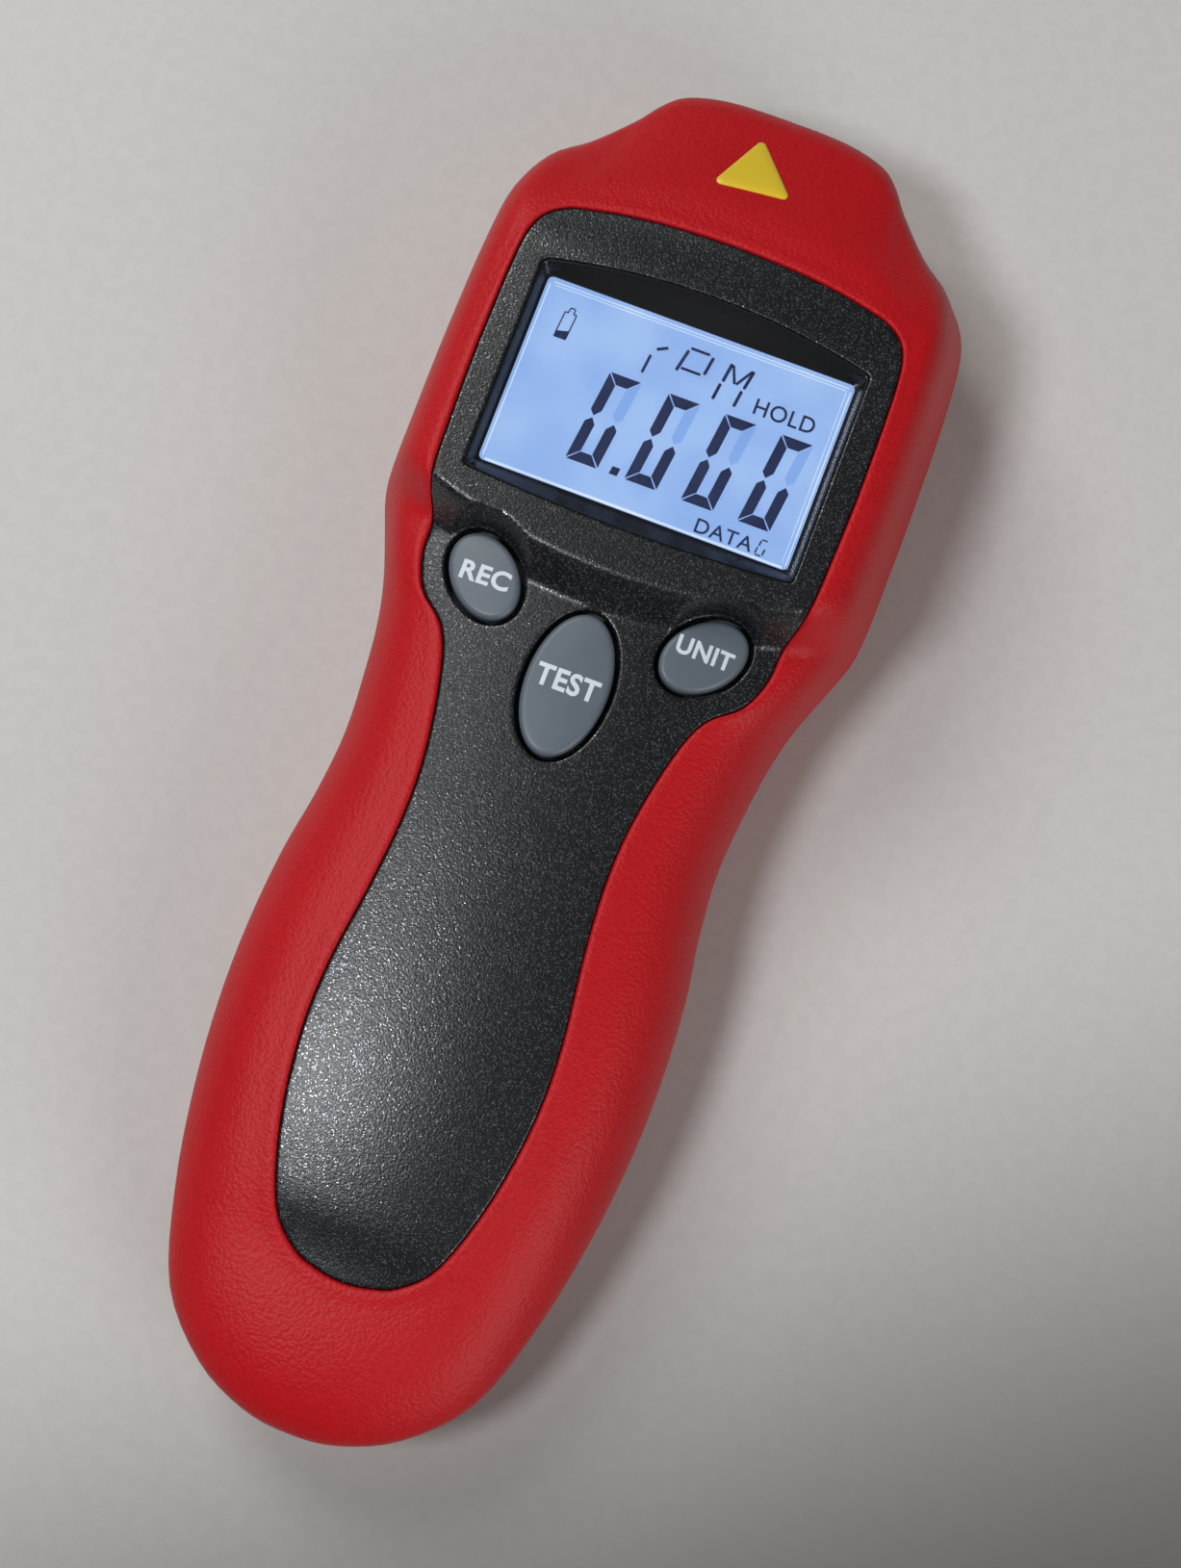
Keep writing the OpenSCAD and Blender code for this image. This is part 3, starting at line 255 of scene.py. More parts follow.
fleck = {"from": 0.86, "to": 0.97}  # the share of the grains that shine


def fleckGroup():
    group, place, made = newGroup("metalFleck", 0.00016, ("Fleck", "Height", "Cloud"))
    grains = addNode(group, "ShaderNodeTexVoronoi", place, feature="F1", Scale=1.0)
    value = group.nodes.new("ShaderNodeSeparateColor")
    group.links.new(grains.outputs["Color"], value.inputs[0])
    group.links.new(steps(group, value.outputs[0], fleck["from"], fleck["to"]), made["Fleck"])
    addNoise(group, place, made["Height"], Scale=0.42, Detail=2.0, Roughness=0.5)
    addNoise(group, place, made["Cloud"], Scale=0.02, Detail=2.0)
    return group


def mouldGroup():
    group, place, made = newGroup("mouldGrain", 0.0003, ("Height", "Cloud"))
    addNoise(group, place, made["Height"], Scale=1.0, Detail=4.0, Roughness=0.6)
    addNoise(group, place, made["Cloud"], Scale=0.04, Detail=3.0)
    return group


toolMark = {"stretch": (0.15, 1.0, 1.0), "from": 0.3, "to": 0.7}


def toolMarkGroup():
    group, place, made = newGroup("toolMarks", 0.0002, ("Height", "Streak"))
    stretch = addNode(group, "ShaderNodeMapping", place, Scale=toolMark["stretch"])
    marks = addNoise(group, stretch.outputs[0], made["Height"], Scale=1.0, Detail=3.0)
    group.links.new(steps(group, marks.outputs["Fac"], toolMark["from"], toolMark["to"]), made["Streak"])
    return group


pebbleSkin = pebbleGroup()
metalFleck = fleckGroup()
mouldGrain = mouldGroup()
toolMarks = toolMarkGroup()


# Finishes
# The crease colour is painted shade: a darker red in the valleys between the pebbles
rubber = {
    "skin": (0.45, 0.0045, 0.009), "creaseShade": (0.42, 0.004, 0.008), "worn": (0.48, 0.006, 0.011),
    "grain": 0.00055, "wear": (0.3, 0.75), "rough": (0.42, 0.50), "bump": 0.6, "depth": 0.00016,
}


def rubberFinish():
    material, tree, shader = newMaterial("redRubber", {"Specular IOR Level": 0.24})
    pebbles = placeGroup(tree, pebbleSkin, rubber["grain"])
    worn = mixColours(tree, steps(tree, pebbles.outputs["Cloud"], *rubber["wear"]), rubber["skin"], rubber["worn"])
    # Painted shade: the valleys between the pebbles are darkened with the crease colour
    colour = mixColours(tree, pebbles.outputs["Crease"], worn, rubber["creaseShade"])
    tree.links.new(colour, shader.inputs["Base Color"])
    drive(tree, pebbles.outputs["Cloud"], *rubber["rough"], shader.inputs["Roughness"])
    addBump(tree, shader, pebbles.outputs["Height"], rubber["bump"], rubber["depth"])
    return material


flecked = {
    "ground": (0.0040, 0.0050, 0.0060), "lighter": 1.35, "fleck": (0.19, 0.203, 0.225), "grain": 0.00015,
    "rough": (0.31, 0.20), "metallic": (0.0, 0.7), "bump": 0.68, "depth": 0.00009,
}


def panelFinish(name):
    material, tree, shader = newMaterial(name, {"Specular IOR Level": 0.5})
    flecks = placeGroup(tree, metalFleck, flecked["grain"])
    light = tuple(flecked["lighter"] * c for c in flecked["ground"])
    tone = mixColours(tree, flecks.outputs["Cloud"], flecked["ground"], light)
    colour = mixColours(tree, flecks.outputs["Fleck"], tone, flecked["fleck"])
    tree.links.new(colour, shader.inputs["Base Color"])
    drive(tree, flecks.outputs["Fleck"], *flecked["rough"], shader.inputs["Roughness"])
    drive(tree, flecks.outputs["Fleck"], *flecked["metallic"], shader.inputs["Metallic"])
    addBump(tree, shader, flecks.outputs["Height"], flecked["bump"], flecked["depth"])
    return material


def layeredFinish(name, values, group, grain, mask, colours, rough, bump=0, depth=0):
    # One effect's mask gives the colour and the roughness, and its height the bump
    material, tree, shader = newMaterial(name, values)
    effect = placeGroup(tree, group, grain)
    tree.links.new(mixColours(tree, effect.outputs[mask], *colours), shader.inputs["Base Color"])
    drive(tree, effect.outputs[mask], *rough, shader.inputs["Roughness"])
    if bump:
        addBump(tree, shader, effect.outputs["Height"], bump, depth)
    return material


moulded = {"roughSpread": 0.06, "leastRough": 0.03}


def mouldedFinish(name, colour, roughness, size=0.0003, depth=0.00003, strength=0.3, spread=0.18, coat=0.0):
    colours = [tuple(min(1, c * share) for c in colour) for share in (1 - spread, 1 + spread)]
    rough = (max(moulded["leastRough"], roughness - moulded["roughSpread"]), roughness + moulded["roughSpread"])
    return layeredFinish(name, {"Coat Weight": coat}, mouldGrain, size, "Cloud", colours, rough, strength, depth)


metal = {"grain": 0.0002, "darker": 0.82, "roughSpread": 0.14, "bump": 0.15, "depth": 0.00002}


def metalFinish(name, colour, roughness):
    colours = (tuple(metal["darker"] * c for c in colour), colour)
    rough = (roughness, roughness + metal["roughSpread"])
    return layeredFinish(name, {"Metallic": 1.0}, toolMarks, metal["grain"], "Streak", colours, rough,
        metal["bump"], metal["depth"])


clearWindow = {"colour": (0.94, 0.97, 1.0), "lighter": 1.02, "grain": 0.002, "rough": (0.02, 0.04)}


def glassFinish():
    clear = tuple(min(1, c * clearWindow["lighter"]) for c in clearWindow["colour"])
    return layeredFinish("clearWindow", {"Transmission Weight": 1.0, "IOR": 1.45}, mouldGrain, clearWindow["grain"],
        "Cloud", (clearWindow["colour"], clear), clearWindow["rough"])


backlight = {"dim": (0.31, 0.50, 0.95), "bright": (0.40, 0.60, 1.0), "strength": 0.86}
glowLook = {"ground": (0.05, 0.06, 0.08, 1), "grain": 0.00045, "cloud": (0.3, 0.7), "bump": 0.05, "depth": 0.00001}


# A glowing finish, used for the backlit cell, its light guide and faint segments, and the painted highlights on the
# window's edge
def glowFinish(name, dim, bright, strength):
    material, tree, shader = newMaterial(name,
        {"Roughness": 0.35, "Base Color": glowLook["ground"], "Emission Strength": strength})
    grain = placeGroup(tree, mouldGrain, glowLook["grain"])
    glow = mixColours(tree, steps(tree, grain.outputs["Cloud"], *glowLook["cloud"]), dim, bright)
    tree.links.new(glow, shader.inputs["Emission Color"])
    addBump(tree, shader, grain.outputs["Height"], glowLook["bump"], glowLook["depth"])
    return material


# The floor carries painted shade that darkens it toward the picture's low right corner, and it grows pale again
# outside the picture
floorLook = {
    "colour": (0.56, 0.54, 0.52), "lowShare": 0.965, "paintedShadeShare": 0.2, "grain": 0.0025, "patches": (0.4, 0.6),
    "along": (0.6, -0.8, 0), "fade": (0.033, 0.154), "back": (0.2, 0.42), "bump": 0.12, "depth": 0.0003,
}


def floorFinish():
    material, tree, shader = newMaterial("paleFloor", {"Roughness": 0.6, "Specular IOR Level": 0.25})
    grain = placeGroup(tree, mouldGrain, floorLook["grain"])
    low, paintedShade = (tuple(floorLook[share] * c for c in floorLook["colour"]) for share in ("lowShare", "paintedShadeShare"))
    pale = mixColours(tree, steps(tree, grain.outputs["Height"], *floorLook["patches"]), low, floorLook["colour"])
    along = addNode(tree, "ShaderNodeVectorMath", operation="DOT_PRODUCT")
    along.inputs[1].default_value = floorLook["along"]
    tree.links.new(grain.inputs["Vector"].links[0].from_socket, along.inputs[0])
    # Painted shade: the floor darkens along the given direction, and grows pale again further out
    shaded = mixColours(tree, steps(tree, along.outputs["Value"], *floorLook["fade"]), pale, paintedShade)
    colour = mixColours(tree, steps(tree, along.outputs["Value"], *floorLook["back"]), shaded, pale)
    tree.links.new(colour, shader.inputs["Base Color"])
    addBump(tree, shader, grain.outputs["Height"], floorLook["bump"], floorLook["depth"])
    return material


addCamera()
addStudio()
print("camera and studio placed")


# Body shape: the same outline and profiles as the solids, drawn finer
body = {
    "length": 210.0, "headWidth": 76.8, "headHeight": 37.5, "handleHeight": 32.0, "partingHeight": 15.0,
    "wall": 2.2, "rubber": 2.0, "headCrownRadius": 500.0, "handleCrownRadius": 120.0,
    "browBow": 4.9, "browRun": 5.6, "browShare": 0.259, "browSpan": 0.76, "columnsPerRow": 4,
    "crestFall": 1.5, "crestShares": (0.65, 0.754), "noseShares": (0.8, 0.94), "gripShares": (0.38, 0),
    "scoopRise": 0.35, "scoopFlat": 0.3, "scoopGap": 0.35, "scoopSlope": 3.6, "scoopBlend": 1.3,
}
halfLength = body["length"] / 2
halfWidth = body["headWidth"] / 2
browY = body["browShare"] * halfLength

# Widest line, panel edge and edge of the flat back, nose to tail, in thousandths of the half sizes
outlineRows = np.array([
    (0, 1000, 0, 754, 0, 967), (247, 997, 247, 751, 208, 964), (411, 982, 430, 744, 328, 949),
    (490, 958, 560, 735, 380, 919), (560, 924, 651, 726, 430, 881), (690, 882, 719, 708, 521, 833),
    (846, 848, 755, 681, 638, 790), (953, 790, 771, 638, 729, 733), (987, 695, 777, 571, 763, 652),
    (999, 548, 779, 476, 773, 524), (1000, 429, 773, 386, 773, 414), (996, 333, 760, 300, 766, 319),
    (977, 286, 716, 251, 742, 262), (927, 236, 706, 203, 698, 205), (870, 179, 651, 154, 646, 148),
    (828, 119, 536, 115, 604, 90), (797, 38, 469, 52, 573, 24), (779, -57, 414, -57, 555, -62),
    (799, -152, 404, -152, 565, -148), (839, -248, 427, -257, 594, -238), (859, -362, 466, -371, 612, -352),
    (854, -476, 471, -476, 607, -467), (818, -605, 424, -600, 573, -586), (745, -743, 328, -710, 505, -705),
    (625, -871, 208, -757, 406, -810), (417, -952, 104, -771, 271, -871), (195, -991, 47, -775, 130, -901),
    (0, -1000, 0, -776, 0, -910)]) / 1000
headProfile = np.array([(0, 0), (0.18, 0.01), (0.38, 0.055), (0.56, 0.155), (0.70, 0.32), (0.84, 0.6), (1, 1)])
handleProfile = np.array([(0, 0), (0.24, 0.025), (0.48, 0.11), (0.70, 0.27), (0.87, 0.5), (0.97, 0.75), (1, 1)])
noseProfile = np.array([(0, 0), (0.22, 0.06), (0.48, 0.21), (0.73, 0.35), (0.91, 0.46), (1, 0.64), (1, 1)])
backProfile = np.array([(0, 0), (0.03, 0.25), (0.12, 0.5), (0.3, 0.74), (0.58, 0.92), (1, 1)])
crestRows = np.array([(-1, 0.66), (-0.776, 0.77), (-0.667, 0.865), (-0.476, 0.945), (-0.19, 0.985), (0.095, 1),
    (0.286, 1.01), (1, 1.01)])


def catmull(a, b, c, d, t):
    return 0.5 * (2 * b + (c - a) * t + (2 * a - 5 * b + 4 * c - d) * t * t + (3 * b - a - 3 * c + d) * t ** 3)


def closedCurve(column):
    right = outlineRows[:, column:column + 2] * (halfWidth, halfLength)
    ring = np.vstack([right, right[-2:0:-1] * (-1, 1)])
    count, perRow = len(ring), body["columnsPerRow"]
    return np.array([catmull(ring[k - 1], ring[k], ring[(k + 1) % count], ring[(k + 2) % count], s / perRow)
        for k in range(count) for s in range(perRow)])


def openCurve(rows, perStep=10):
    points = np.vstack([2 * rows[0] - rows[1], rows, 2 * rows[-1] - rows[-2]])
    made = [catmull(*points[k:k + 4], s / perStep) for k in range(len(rows) - 1) for s in range(perStep)]
    return np.array(made + [rows[-1]])


def ringAt(line, height):
    return np.column_stack([line, np.broadcast_to(height, len(line))])


def smooth(low, high, value):
    t = np.clip((value - low) / (high - low), 0, 1)
    return t * t * (3 - 2 * t)


def outward(ring):
    along = np.roll(ring, -1, axis=0) - np.roll(ring, 1, axis=0)
    across = np.stack([-along[:, 1], along[:, 0]], axis=1)
    return across / np.linalg.norm(across, axis=1, keepdims=True)


rimLine, edgeLine, footLine = closedCurve(0), closedCurve(2), closedCurve(4)
rimNormal, edgeNormal, footNormal = outward(rimLine), outward(edgeLine), outward(footLine)
columnCount = len(rimLine)
crestCurve = openCurve(crestRows)

# Keys: place, half sizes of the hole, turn and word, then the cap's own values
keys = {
    "memory_key": {"place": (-0.445 * halfWidth, 0.2 * halfLength), "a": 7.6, "b": 5.6, "turn": -45.0,
        "label": "REC", "labelSize": (7.6, 2.95), "labelShift": (0.2, 0.0)},
    "measure_key": {"place": (0.0, 0.095 * halfLength), "a": 11.6, "b": 6.9, "turn": 90.0,
        "label": "TEST", "labelSize": (9.6, 3.35), "labelShift": (0.0, 0.3)},
    "mode_key": {"place": (0.445 * halfWidth, 0.2 * halfLength), "a": 7.6, "b": 5.6, "turn": 45.0,
        "label": "UNIT", "labelSize": (8.6, 2.8), "labelShift": (0.0, 0.5)},
}
keyLook = {
    "gap": 0.7, "proud": 0.68, "dome": 0.16, "edgeRound": 0.8, "edgeSteps": 7, "well": 4.0, "corners": 112,
    "topRings": (0.94, 0.87, 0.84, 0.78, 0.66, 0.4), "still": 1.5, "moving": 1.0,
}


def keyDistance(key, x, y):
    turn = math.radians(key["turn"])
    dx, dy = x - key["place"][0], y - key["place"][1]
    u = dx * math.cos(turn) + dy * math.sin(turn)
    v = -dx * math.sin(turn) + dy * math.cos(turn)
    level, least = np.sqrt((u / key["a"]) ** 2 + (v / key["b"]) ** 2), 0.01
    reach = np.sqrt(u * u + v * v)
    return np.where(level > least, (level - 1) * reach / np.maximum(level, least), -key["b"])


def handleTop(x, y):
    crest = np.interp(np.asarray(y) / halfLength, crestCurve[:, 0], crestCurve[:, 1])
    return body["handleHeight"] * crest - x * x / (2 * body["handleCrownRadius"])


def smoothAlong(shares, y):
    return smooth(shares[0] * halfLength, shares[1] * halfLength, y)


def headTop(x, y):
    fall = body["crestFall"] * smoothAlong(body["crestShares"], np.asarray(y))
    return body["headHeight"] - fall - x * x / (2 * body["headCrownRadius"])


def panelHeight(x, y):
    brow = browY + body["browBow"] * (x / (body["browSpan"] * halfWidth)) ** 2
    step = smooth(brow - body["browRun"], brow, y)
    handle = handleTop(x, y)
    height = handle + (headTop(x, y) - handle) * step
    blend = body["scoopBlend"]
    for name in ("memory_key", "mode_key"):
        # The brow's slope is scooped out behind each side key
        away = keyDistance(keys[name], x, y)
        limit = handle + body["scoopRise"] + np.maximum(away - body["scoopGap"], 0) * body["scoopSlope"]
        mix = np.clip(0.5 + 0.5 * (limit - height) / blend, 0, 1)
        sink = blend * mix * (1 - mix) * (height > handle + body["scoopFlat"])
        height = np.minimum(limit + (height - limit) * mix - sink, height)
    return height


def blendedProfile():
    y = rimLine[:, 1]
    nose = smoothAlong(body["noseShares"], y)[:, None, None]
    grip = smoothAlong(body["gripShares"], y)[:, None, None]
    head, handle, tip = openCurve(headProfile), openCurve(handleProfile), openCurve(noseProfile)
    shape = head[None] + (handle - head)[None] * grip
    return shape + (tip[None] - shape) * nose


flankProfile = blendedProfile()
flankSteps = flankProfile.shape[1] - 1
edgeTop = panelHeight(edgeLine[:, 0], edgeLine[:, 1])


def flankPoints(shares, depth):
    # Rings of points from the panel's edge down to the parting line, sunk by the depth
    rim = rimLine - depth * rimNormal
    made = []
    for i in range(columnCount):
        t = np.clip(shares[i], 0, 1) * flankSteps
        out = np.interp(t, np.arange(flankSteps + 1), flankProfile[i, :, 0])
        down = np.interp(t, np.arange(flankSteps + 1), flankProfile[i, :, 1])
        top = edgeTop[i] - depth
        place = edgeLine[i] + (rim[i] - edgeLine[i]) * out[:, None]
        made.append(np.column_stack([place, top + (body["partingHeight"] - top) * down]))
    return np.array(made).transpose(1, 0, 2)


# Mesh helpers
def editMode():
    bpy.ops.object.mode_set(mode="EDIT")


def objectMode():
    if bpy.context.object and bpy.context.object.mode != "OBJECT":
        bpy.ops.object.mode_set(mode="OBJECT")


def deselectAll():
    objectMode()
    bpy.ops.object.select_all(action="DESELECT")


def makeActive(piece):
    deselectAll()
    piece.select_set(True)
    bpy.context.view_layer.objects.active = piece


def selectNone(piece, kind):
    makeActive(piece)
    editMode()
    bpy.ops.mesh.select_mode(type=kind)
    bpy.ops.mesh.select_all(action="DESELECT")
    objectMode()


def selectTopFace(piece):
    # Selects the face of many corners that looks up, and nothing else
    selectNone(piece, "FACE")
    for face in piece.data.polygons:
        face.select = len(face.vertices) > 20 and face.normal.z > 0.9
    editMode()


def faceOutward(piece, weld=0):
    makeActive(piece)
    editMode()
    bpy.ops.mesh.select_all(action="SELECT")
    if weld:
        bpy.ops.mesh.remove_doubles(threshold=weld)
    bpy.ops.mesh.normals_make_consistent(inside=False)
    objectMode()


def vertexPlaces(mesh):
    places = np.empty(len(mesh.vertices) * 3)
    mesh.vertices.foreach_get("co", places)
    return places.reshape(-1, 3)


def moveVertices(mesh, places):
    mesh.vertices.foreach_set("co", (places * mm).ravel())


def finishPiece(piece, material, bodyName, replaced=(), smoothAngle=40):
    piece.data.materials.clear()
    piece.data.materials.append(material)
    makeActive(piece)
    bpy.ops.object.shade_smooth_by_angle(angle=math.radians(smoothAngle))
    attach(piece, bodyName)
    if replaced:
        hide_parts(*replaced)


def rolledGrid(name, rows):
    # A grid primitive rolled into a closed tube: one grid row for each ring of points
    rings, columns = rows.shape[:2]
    rows = np.concatenate([rows, rows[:1]])
    rows = np.concatenate([rows, rows[:, :1]], axis=1)
    deselectAll()
    bpy.ops.mesh.primitive_grid_add(x_subdivisions=columns, y_subdivisions=rings, size=1)
    piece = bpy.context.object
    piece.name = name
    places = vertexPlaces(piece.data)
    column = np.rint((places[:, 0] + 0.5) * columns).astype(int)
    ring = np.rint((places[:, 1] + 0.5) * rings).astype(int)
    moveVertices(piece.data, rows[ring, column])
    faceOutward(piece, weld=0.000002)
    return piece


def applyModifier(piece, kind, **settings):
    makeActive(piece)
    modifier = piece.modifiers.new("applied", kind)
    for name, value in settings.items():
        setattr(modifier, name, value)
    bpy.ops.object.modifier_apply(modifier=modifier.name)


def cutAway(piece, cutter):
    applyModifier(piece, "BOOLEAN", operation="DIFFERENCE", solver="EXACT", object=cutter)


def roundEdges(piece, chosen, radius, count):
    # Rounds every edge that the test on its two ends chooses
    selectNone(piece, "EDGE")
    for edge in piece.data.edges:
        edge.select = chosen(*(piece.data.vertices[k].co for k in edge.vertices))
    editMode()
    bpy.ops.mesh.bevel(offset=radius * mm, segments=count, affect="EDGES")
    objectMode()


# Opening in the nose for the insert: a block with rounded long edges
noseOpening = {
    "width": 20.6, "height": 19.0, "bottom": 3.3, "from": 88.0, "to": 106.5, "corner": 2.4, "cornerSteps": 8,
}


def noseCutter():
    deselectAll()
    bpy.ops.mesh.primitive_cube_add(size=1)
    cutter = bpy.context.object
    cutter.name = "noseCutter"
    start, end = noseOpening["from"], noseOpening["to"]
    middle = (0, (start + end) / 2, noseOpening["bottom"] + noseOpening["height"] / 2)
    size = (noseOpening["width"] * mm, (end - start) * mm, noseOpening["height"] * mm, 1)
    cutter.data.transform(Matrix.Translation(Vector(middle) * mm) @ Matrix.Diagonal(size))
    roundEdges(cutter, lambda a, b: abs(a.y - b.y) > mm, noseOpening["corner"], noseOpening["cornerSteps"])
    return cutter


# Display recess and its lit window
display = {
    "width": 48.0, "length": 29.5, "centreY": 0.488 * halfLength, "corner": 1.0, "recessCorner": 0.9,
    "sideGap": 1.5, "topGap": 1.5, "lowGap": 2.0, "topRise": 3.0, "lowDrop": 1.3,
    "lensHeight": 34.3, "glassHeight": 32.9, "sideSteps": 18, "cornerSteps": 5,
}
windowTop = display["centreY"] + display["length"] / 2
windowLow = display["centreY"] - display["length"] / 2


def rounded(start, middle, end):
    t = np.linspace(0, 1, display["cornerSteps"] + 2)[1:-1, None]
    return (1 - t) ** 2 * start + 2 * t * (1 - t) * middle + t * t * end


def frameLoop(halfSpan, top, low, rise, drop, corner):
    count = display["sideSteps"]
    across = np.linspace(halfSpan - corner, -(halfSpan - corner), count)
    down = np.linspace(top - corner, low + corner, count)
    bow = 1 - (across / halfSpan) ** 2
    sides = [np.column_stack(side) for side in ((across, top + rise * bow), (np.full(count, -halfSpan), down),
        (-across, low - drop * bow), (np.full(count, halfSpan), down[::-1]))]
    corners = np.array([(-halfSpan, top), (-halfSpan, low), (halfSpan, low), (halfSpan, top)])
    loop = []
    for k, side in enumerate(sides):
        loop += [side, rounded(side[-1], corners[k], sides[(k + 1) % 4][0])]
    return np.vstack(loop)


def recessLoop(gap):
    return frameLoop(display["width"] / 2 + display["sideGap"] - gap, windowTop + display["topGap"] - gap,
        windowLow - display["lowGap"] + gap, display["topRise"], display["lowDrop"], display["recessCorner"])


def windowLoop(gap):
    return frameLoop(display["width"] / 2 + gap, windowTop + gap, windowLow - gap, 0, 0, display["corner"])


def keyLoop(key, gap, count=96):
    turn = math.radians(key["turn"])
    angle = np.linspace(0, 2 * math.pi, count, endpoint=False)
    u, v = key["a"] * np.cos(angle), key["b"] * np.sin(angle)
    normal = np.column_stack([np.cos(angle) / key["a"], np.sin(angle) / key["b"]])
    normal /= np.linalg.norm(normal, axis=1, keepdims=True)
    u, v = u + gap * normal[:, 0], v + gap * normal[:, 1]
    return np.column_stack([key["place"][0] + u * math.cos(turn) - v * math.sin(turn),
        key["place"][1] + u * math.sin(turn) + v * math.cos(turn)])


def insideLoop(points, loop):
    x, y = points[:, 0], points[:, 1]
    inside = np.zeros(len(points), bool)
    for (x0, y0), (x1, y1) in zip(loop, np.roll(loop, -1, axis=0)):
        crosses = (y0 > y) != (y1 > y)
        inside ^= crosses & (x < (x1 - x0) * (y - y0) / (y1 - y0 + 1e-12) + x0)
    return inside


# Front shell: the flecked panel with its openings, and the wall that carries the rubber
panelLook = {
    "seam": 0.1, "edgeRound": 0.35, "recessRound": 0.3, "holeRound": 0.42,
    "rings": (0.0, 0.05, 0.14, 0.27, 0.42, 0.8), "thickBand": 1.2, "wallRings": 9, "wallGap": 0.04,
    "fill": 1.15, "fine": 0.5, "fineFrom": 6, "fineTo": 37, "halfLength": 90, "halfWidth": 36, "free": 0.62,
}


def roundDrop(distance, radius):
    short = np.clip(1 - distance / radius, 0, 1)
    return radius * (1 - np.sqrt(np.maximum(0, 1 - short * short)))


def betweenLoops(points, outer, holes):
    keep = insideLoop(points, outer)
    for hole in holes:
        keep &= ~insideLoop(points, hole)
    return keep


def nearestSquares(points, targets):
    return np.array([np.min(np.sum((targets - p) ** 2, axis=1)) for p in points])


def panelGrid(ringPoints, outer, holes):
    # Staggered points over the panel, finer round the brow and the keys, and clear of the rings
    low, high, reach = panelLook["fineFrom"], panelLook["fineTo"], panelLook["halfLength"]
    fill, fine = panelLook["fill"], panelLook["fine"]
    rowShare = 0.866  # height of an even triangle of side 1
    grids = []
    for step, start, end in ((fill, -reach, low), (fine, low, high), (fill, high, reach)):
        across = np.arange(-panelLook["halfWidth"], panelLook["halfWidth"], step)
        for k, y in enumerate(np.arange(start, end, step * rowShare)):
            grids.append(np.column_stack([across + (k % 2) * step / 2, np.full(len(across), y)]))
    grid = np.vstack(grids)
    step = np.where((grid[:, 1] > low) & (grid[:, 1] < high), fine, fill)
    keep = betweenLoops(grid, outer, holes)
    grid = grid[keep]
    return grid[nearestSquares(grid, ringPoints) > (panelLook["free"] * step[keep]) ** 2]


def buildFrontShell():
    distances = panelLook["rings"]
    ringSets = [([edgeLine - (panelLook["seam"] + d) * edgeNormal for d in distances], panelLook["edgeRound"]),
        ([recessLoop(-d) for d in distances], panelLook["recessRound"])]
    ringSets += [([keyLoop(key, d) for d in distances], panelLook["holeRound"]) for key in keys.values()]
    points, drops, edges, loops = [], [], [], []
    start = 0
    for rings, radius in ringSets:
        loops.append(np.arange(start, start + len(rings[0])))
        for loop, distance in zip(rings, distances):
            points.append(loop)
            drops.append(np.full(len(loop), roundDrop(distance, radius)))
            edges += [(start + k, start + (k + 1) % len(loop)) for k in range(len(loop))]
            start += len(loop)
    ringPoints = np.vstack(points)
    grid = panelGrid(ringPoints, ringSets[0][0][-1], [rings[-1] for rings, radius in ringSets[1:]])
    drop = np.concatenate(drops + [np.zeros(len(grid))])

    # The flat sheet: its own points and triangles, and the first point given for each
    flat = [Vector(p) for p in np.vstack([ringPoints, grid])]
    sheet = delaunay_2d_cdt(flat, edges, [], 1, 1e-5)
    places, sources = np.array([tuple(p) for p in sheet[0]]), sheet[3]
    faces = np.array([f for f in sheet[2] if len(f) == 3])
    middle = places[faces].mean(axis=1)
    faces = faces[betweenLoops(middle, ringSets[0][0][0], [rings[0] for rings, radius in ringSets[1:]])]
    dropAt = np.array([drop[s[0]] if s else 0 for s in sources])
    newIndex = {s[0]: k for k, s in enumerate(sources) if s}
    span = places[faces]
    turned = np.cross(span[:, 1] - span[:, 0], span[:, 2] - span[:, 0]) < 0
    faces[turned] = faces[turned][:, ::-1]

    # Top and bottom of the panel, and the walls of its holes
    ground = panelHeight(places[:, 0], places[:, 1])
    nearEdge = nearestSquares(places, edgeLine) ** 0.5 < panelLook["thickBand"]
    count = len(places)
    vertices = [ringAt(places, ground - dropAt), ringAt(places, ground - (body["wall"] + body["rubber"] * nearEdge))]
    allFaces = [tuple(f) for f in faces] + [tuple(f[::-1] + count) for f in faces]
    for loop in loops[1:]:
        ids = [newIndex[k] for k in loop]
        for a, b in zip(ids, ids[1:] + ids[:1]):
            allFaces.append((a, b, b + count, a + count))

    # The flank under the rubber, from the panel's edge down, and up again on the inside
    shares = np.tile(np.linspace(0, 1, panelLook["wallRings"]), (columnCount, 1))
    wallRows = np.concatenate([flankPoints(shares, body["rubber"] + panelLook["wallGap"]),
        flankPoints(shares, body["rubber"] + body["wall"])[::-1]])
    vertices.append(wallRows.reshape(-1, 3))
    first = [newIndex[k] for k in loops[0]]
    rowIds = [[2 * count + r * columnCount + c for c in range(columnCount)] for r in range(len(wallRows))]
    rowIds = [first] + rowIds + [[k + count for k in first]]
    for upper, lower in zip(rowIds, rowIds[1:]):
        for c in range(columnCount):
            n = (c + 1) % columnCount
            allFaces.append((upper[c], lower[c], lower[n], upper[n]))
    mesh = bpy.data.meshes.new("front_shell")
    mesh.from_pydata([tuple(v) for v in np.vstack(vertices) * mm], [], allFaces)
    mesh.validate()
    piece = bpy.data.objects.new("front_shell", mesh)
    bpy.context.scene.collection.objects.link(piece)
    faceOutward(piece)
    return piece


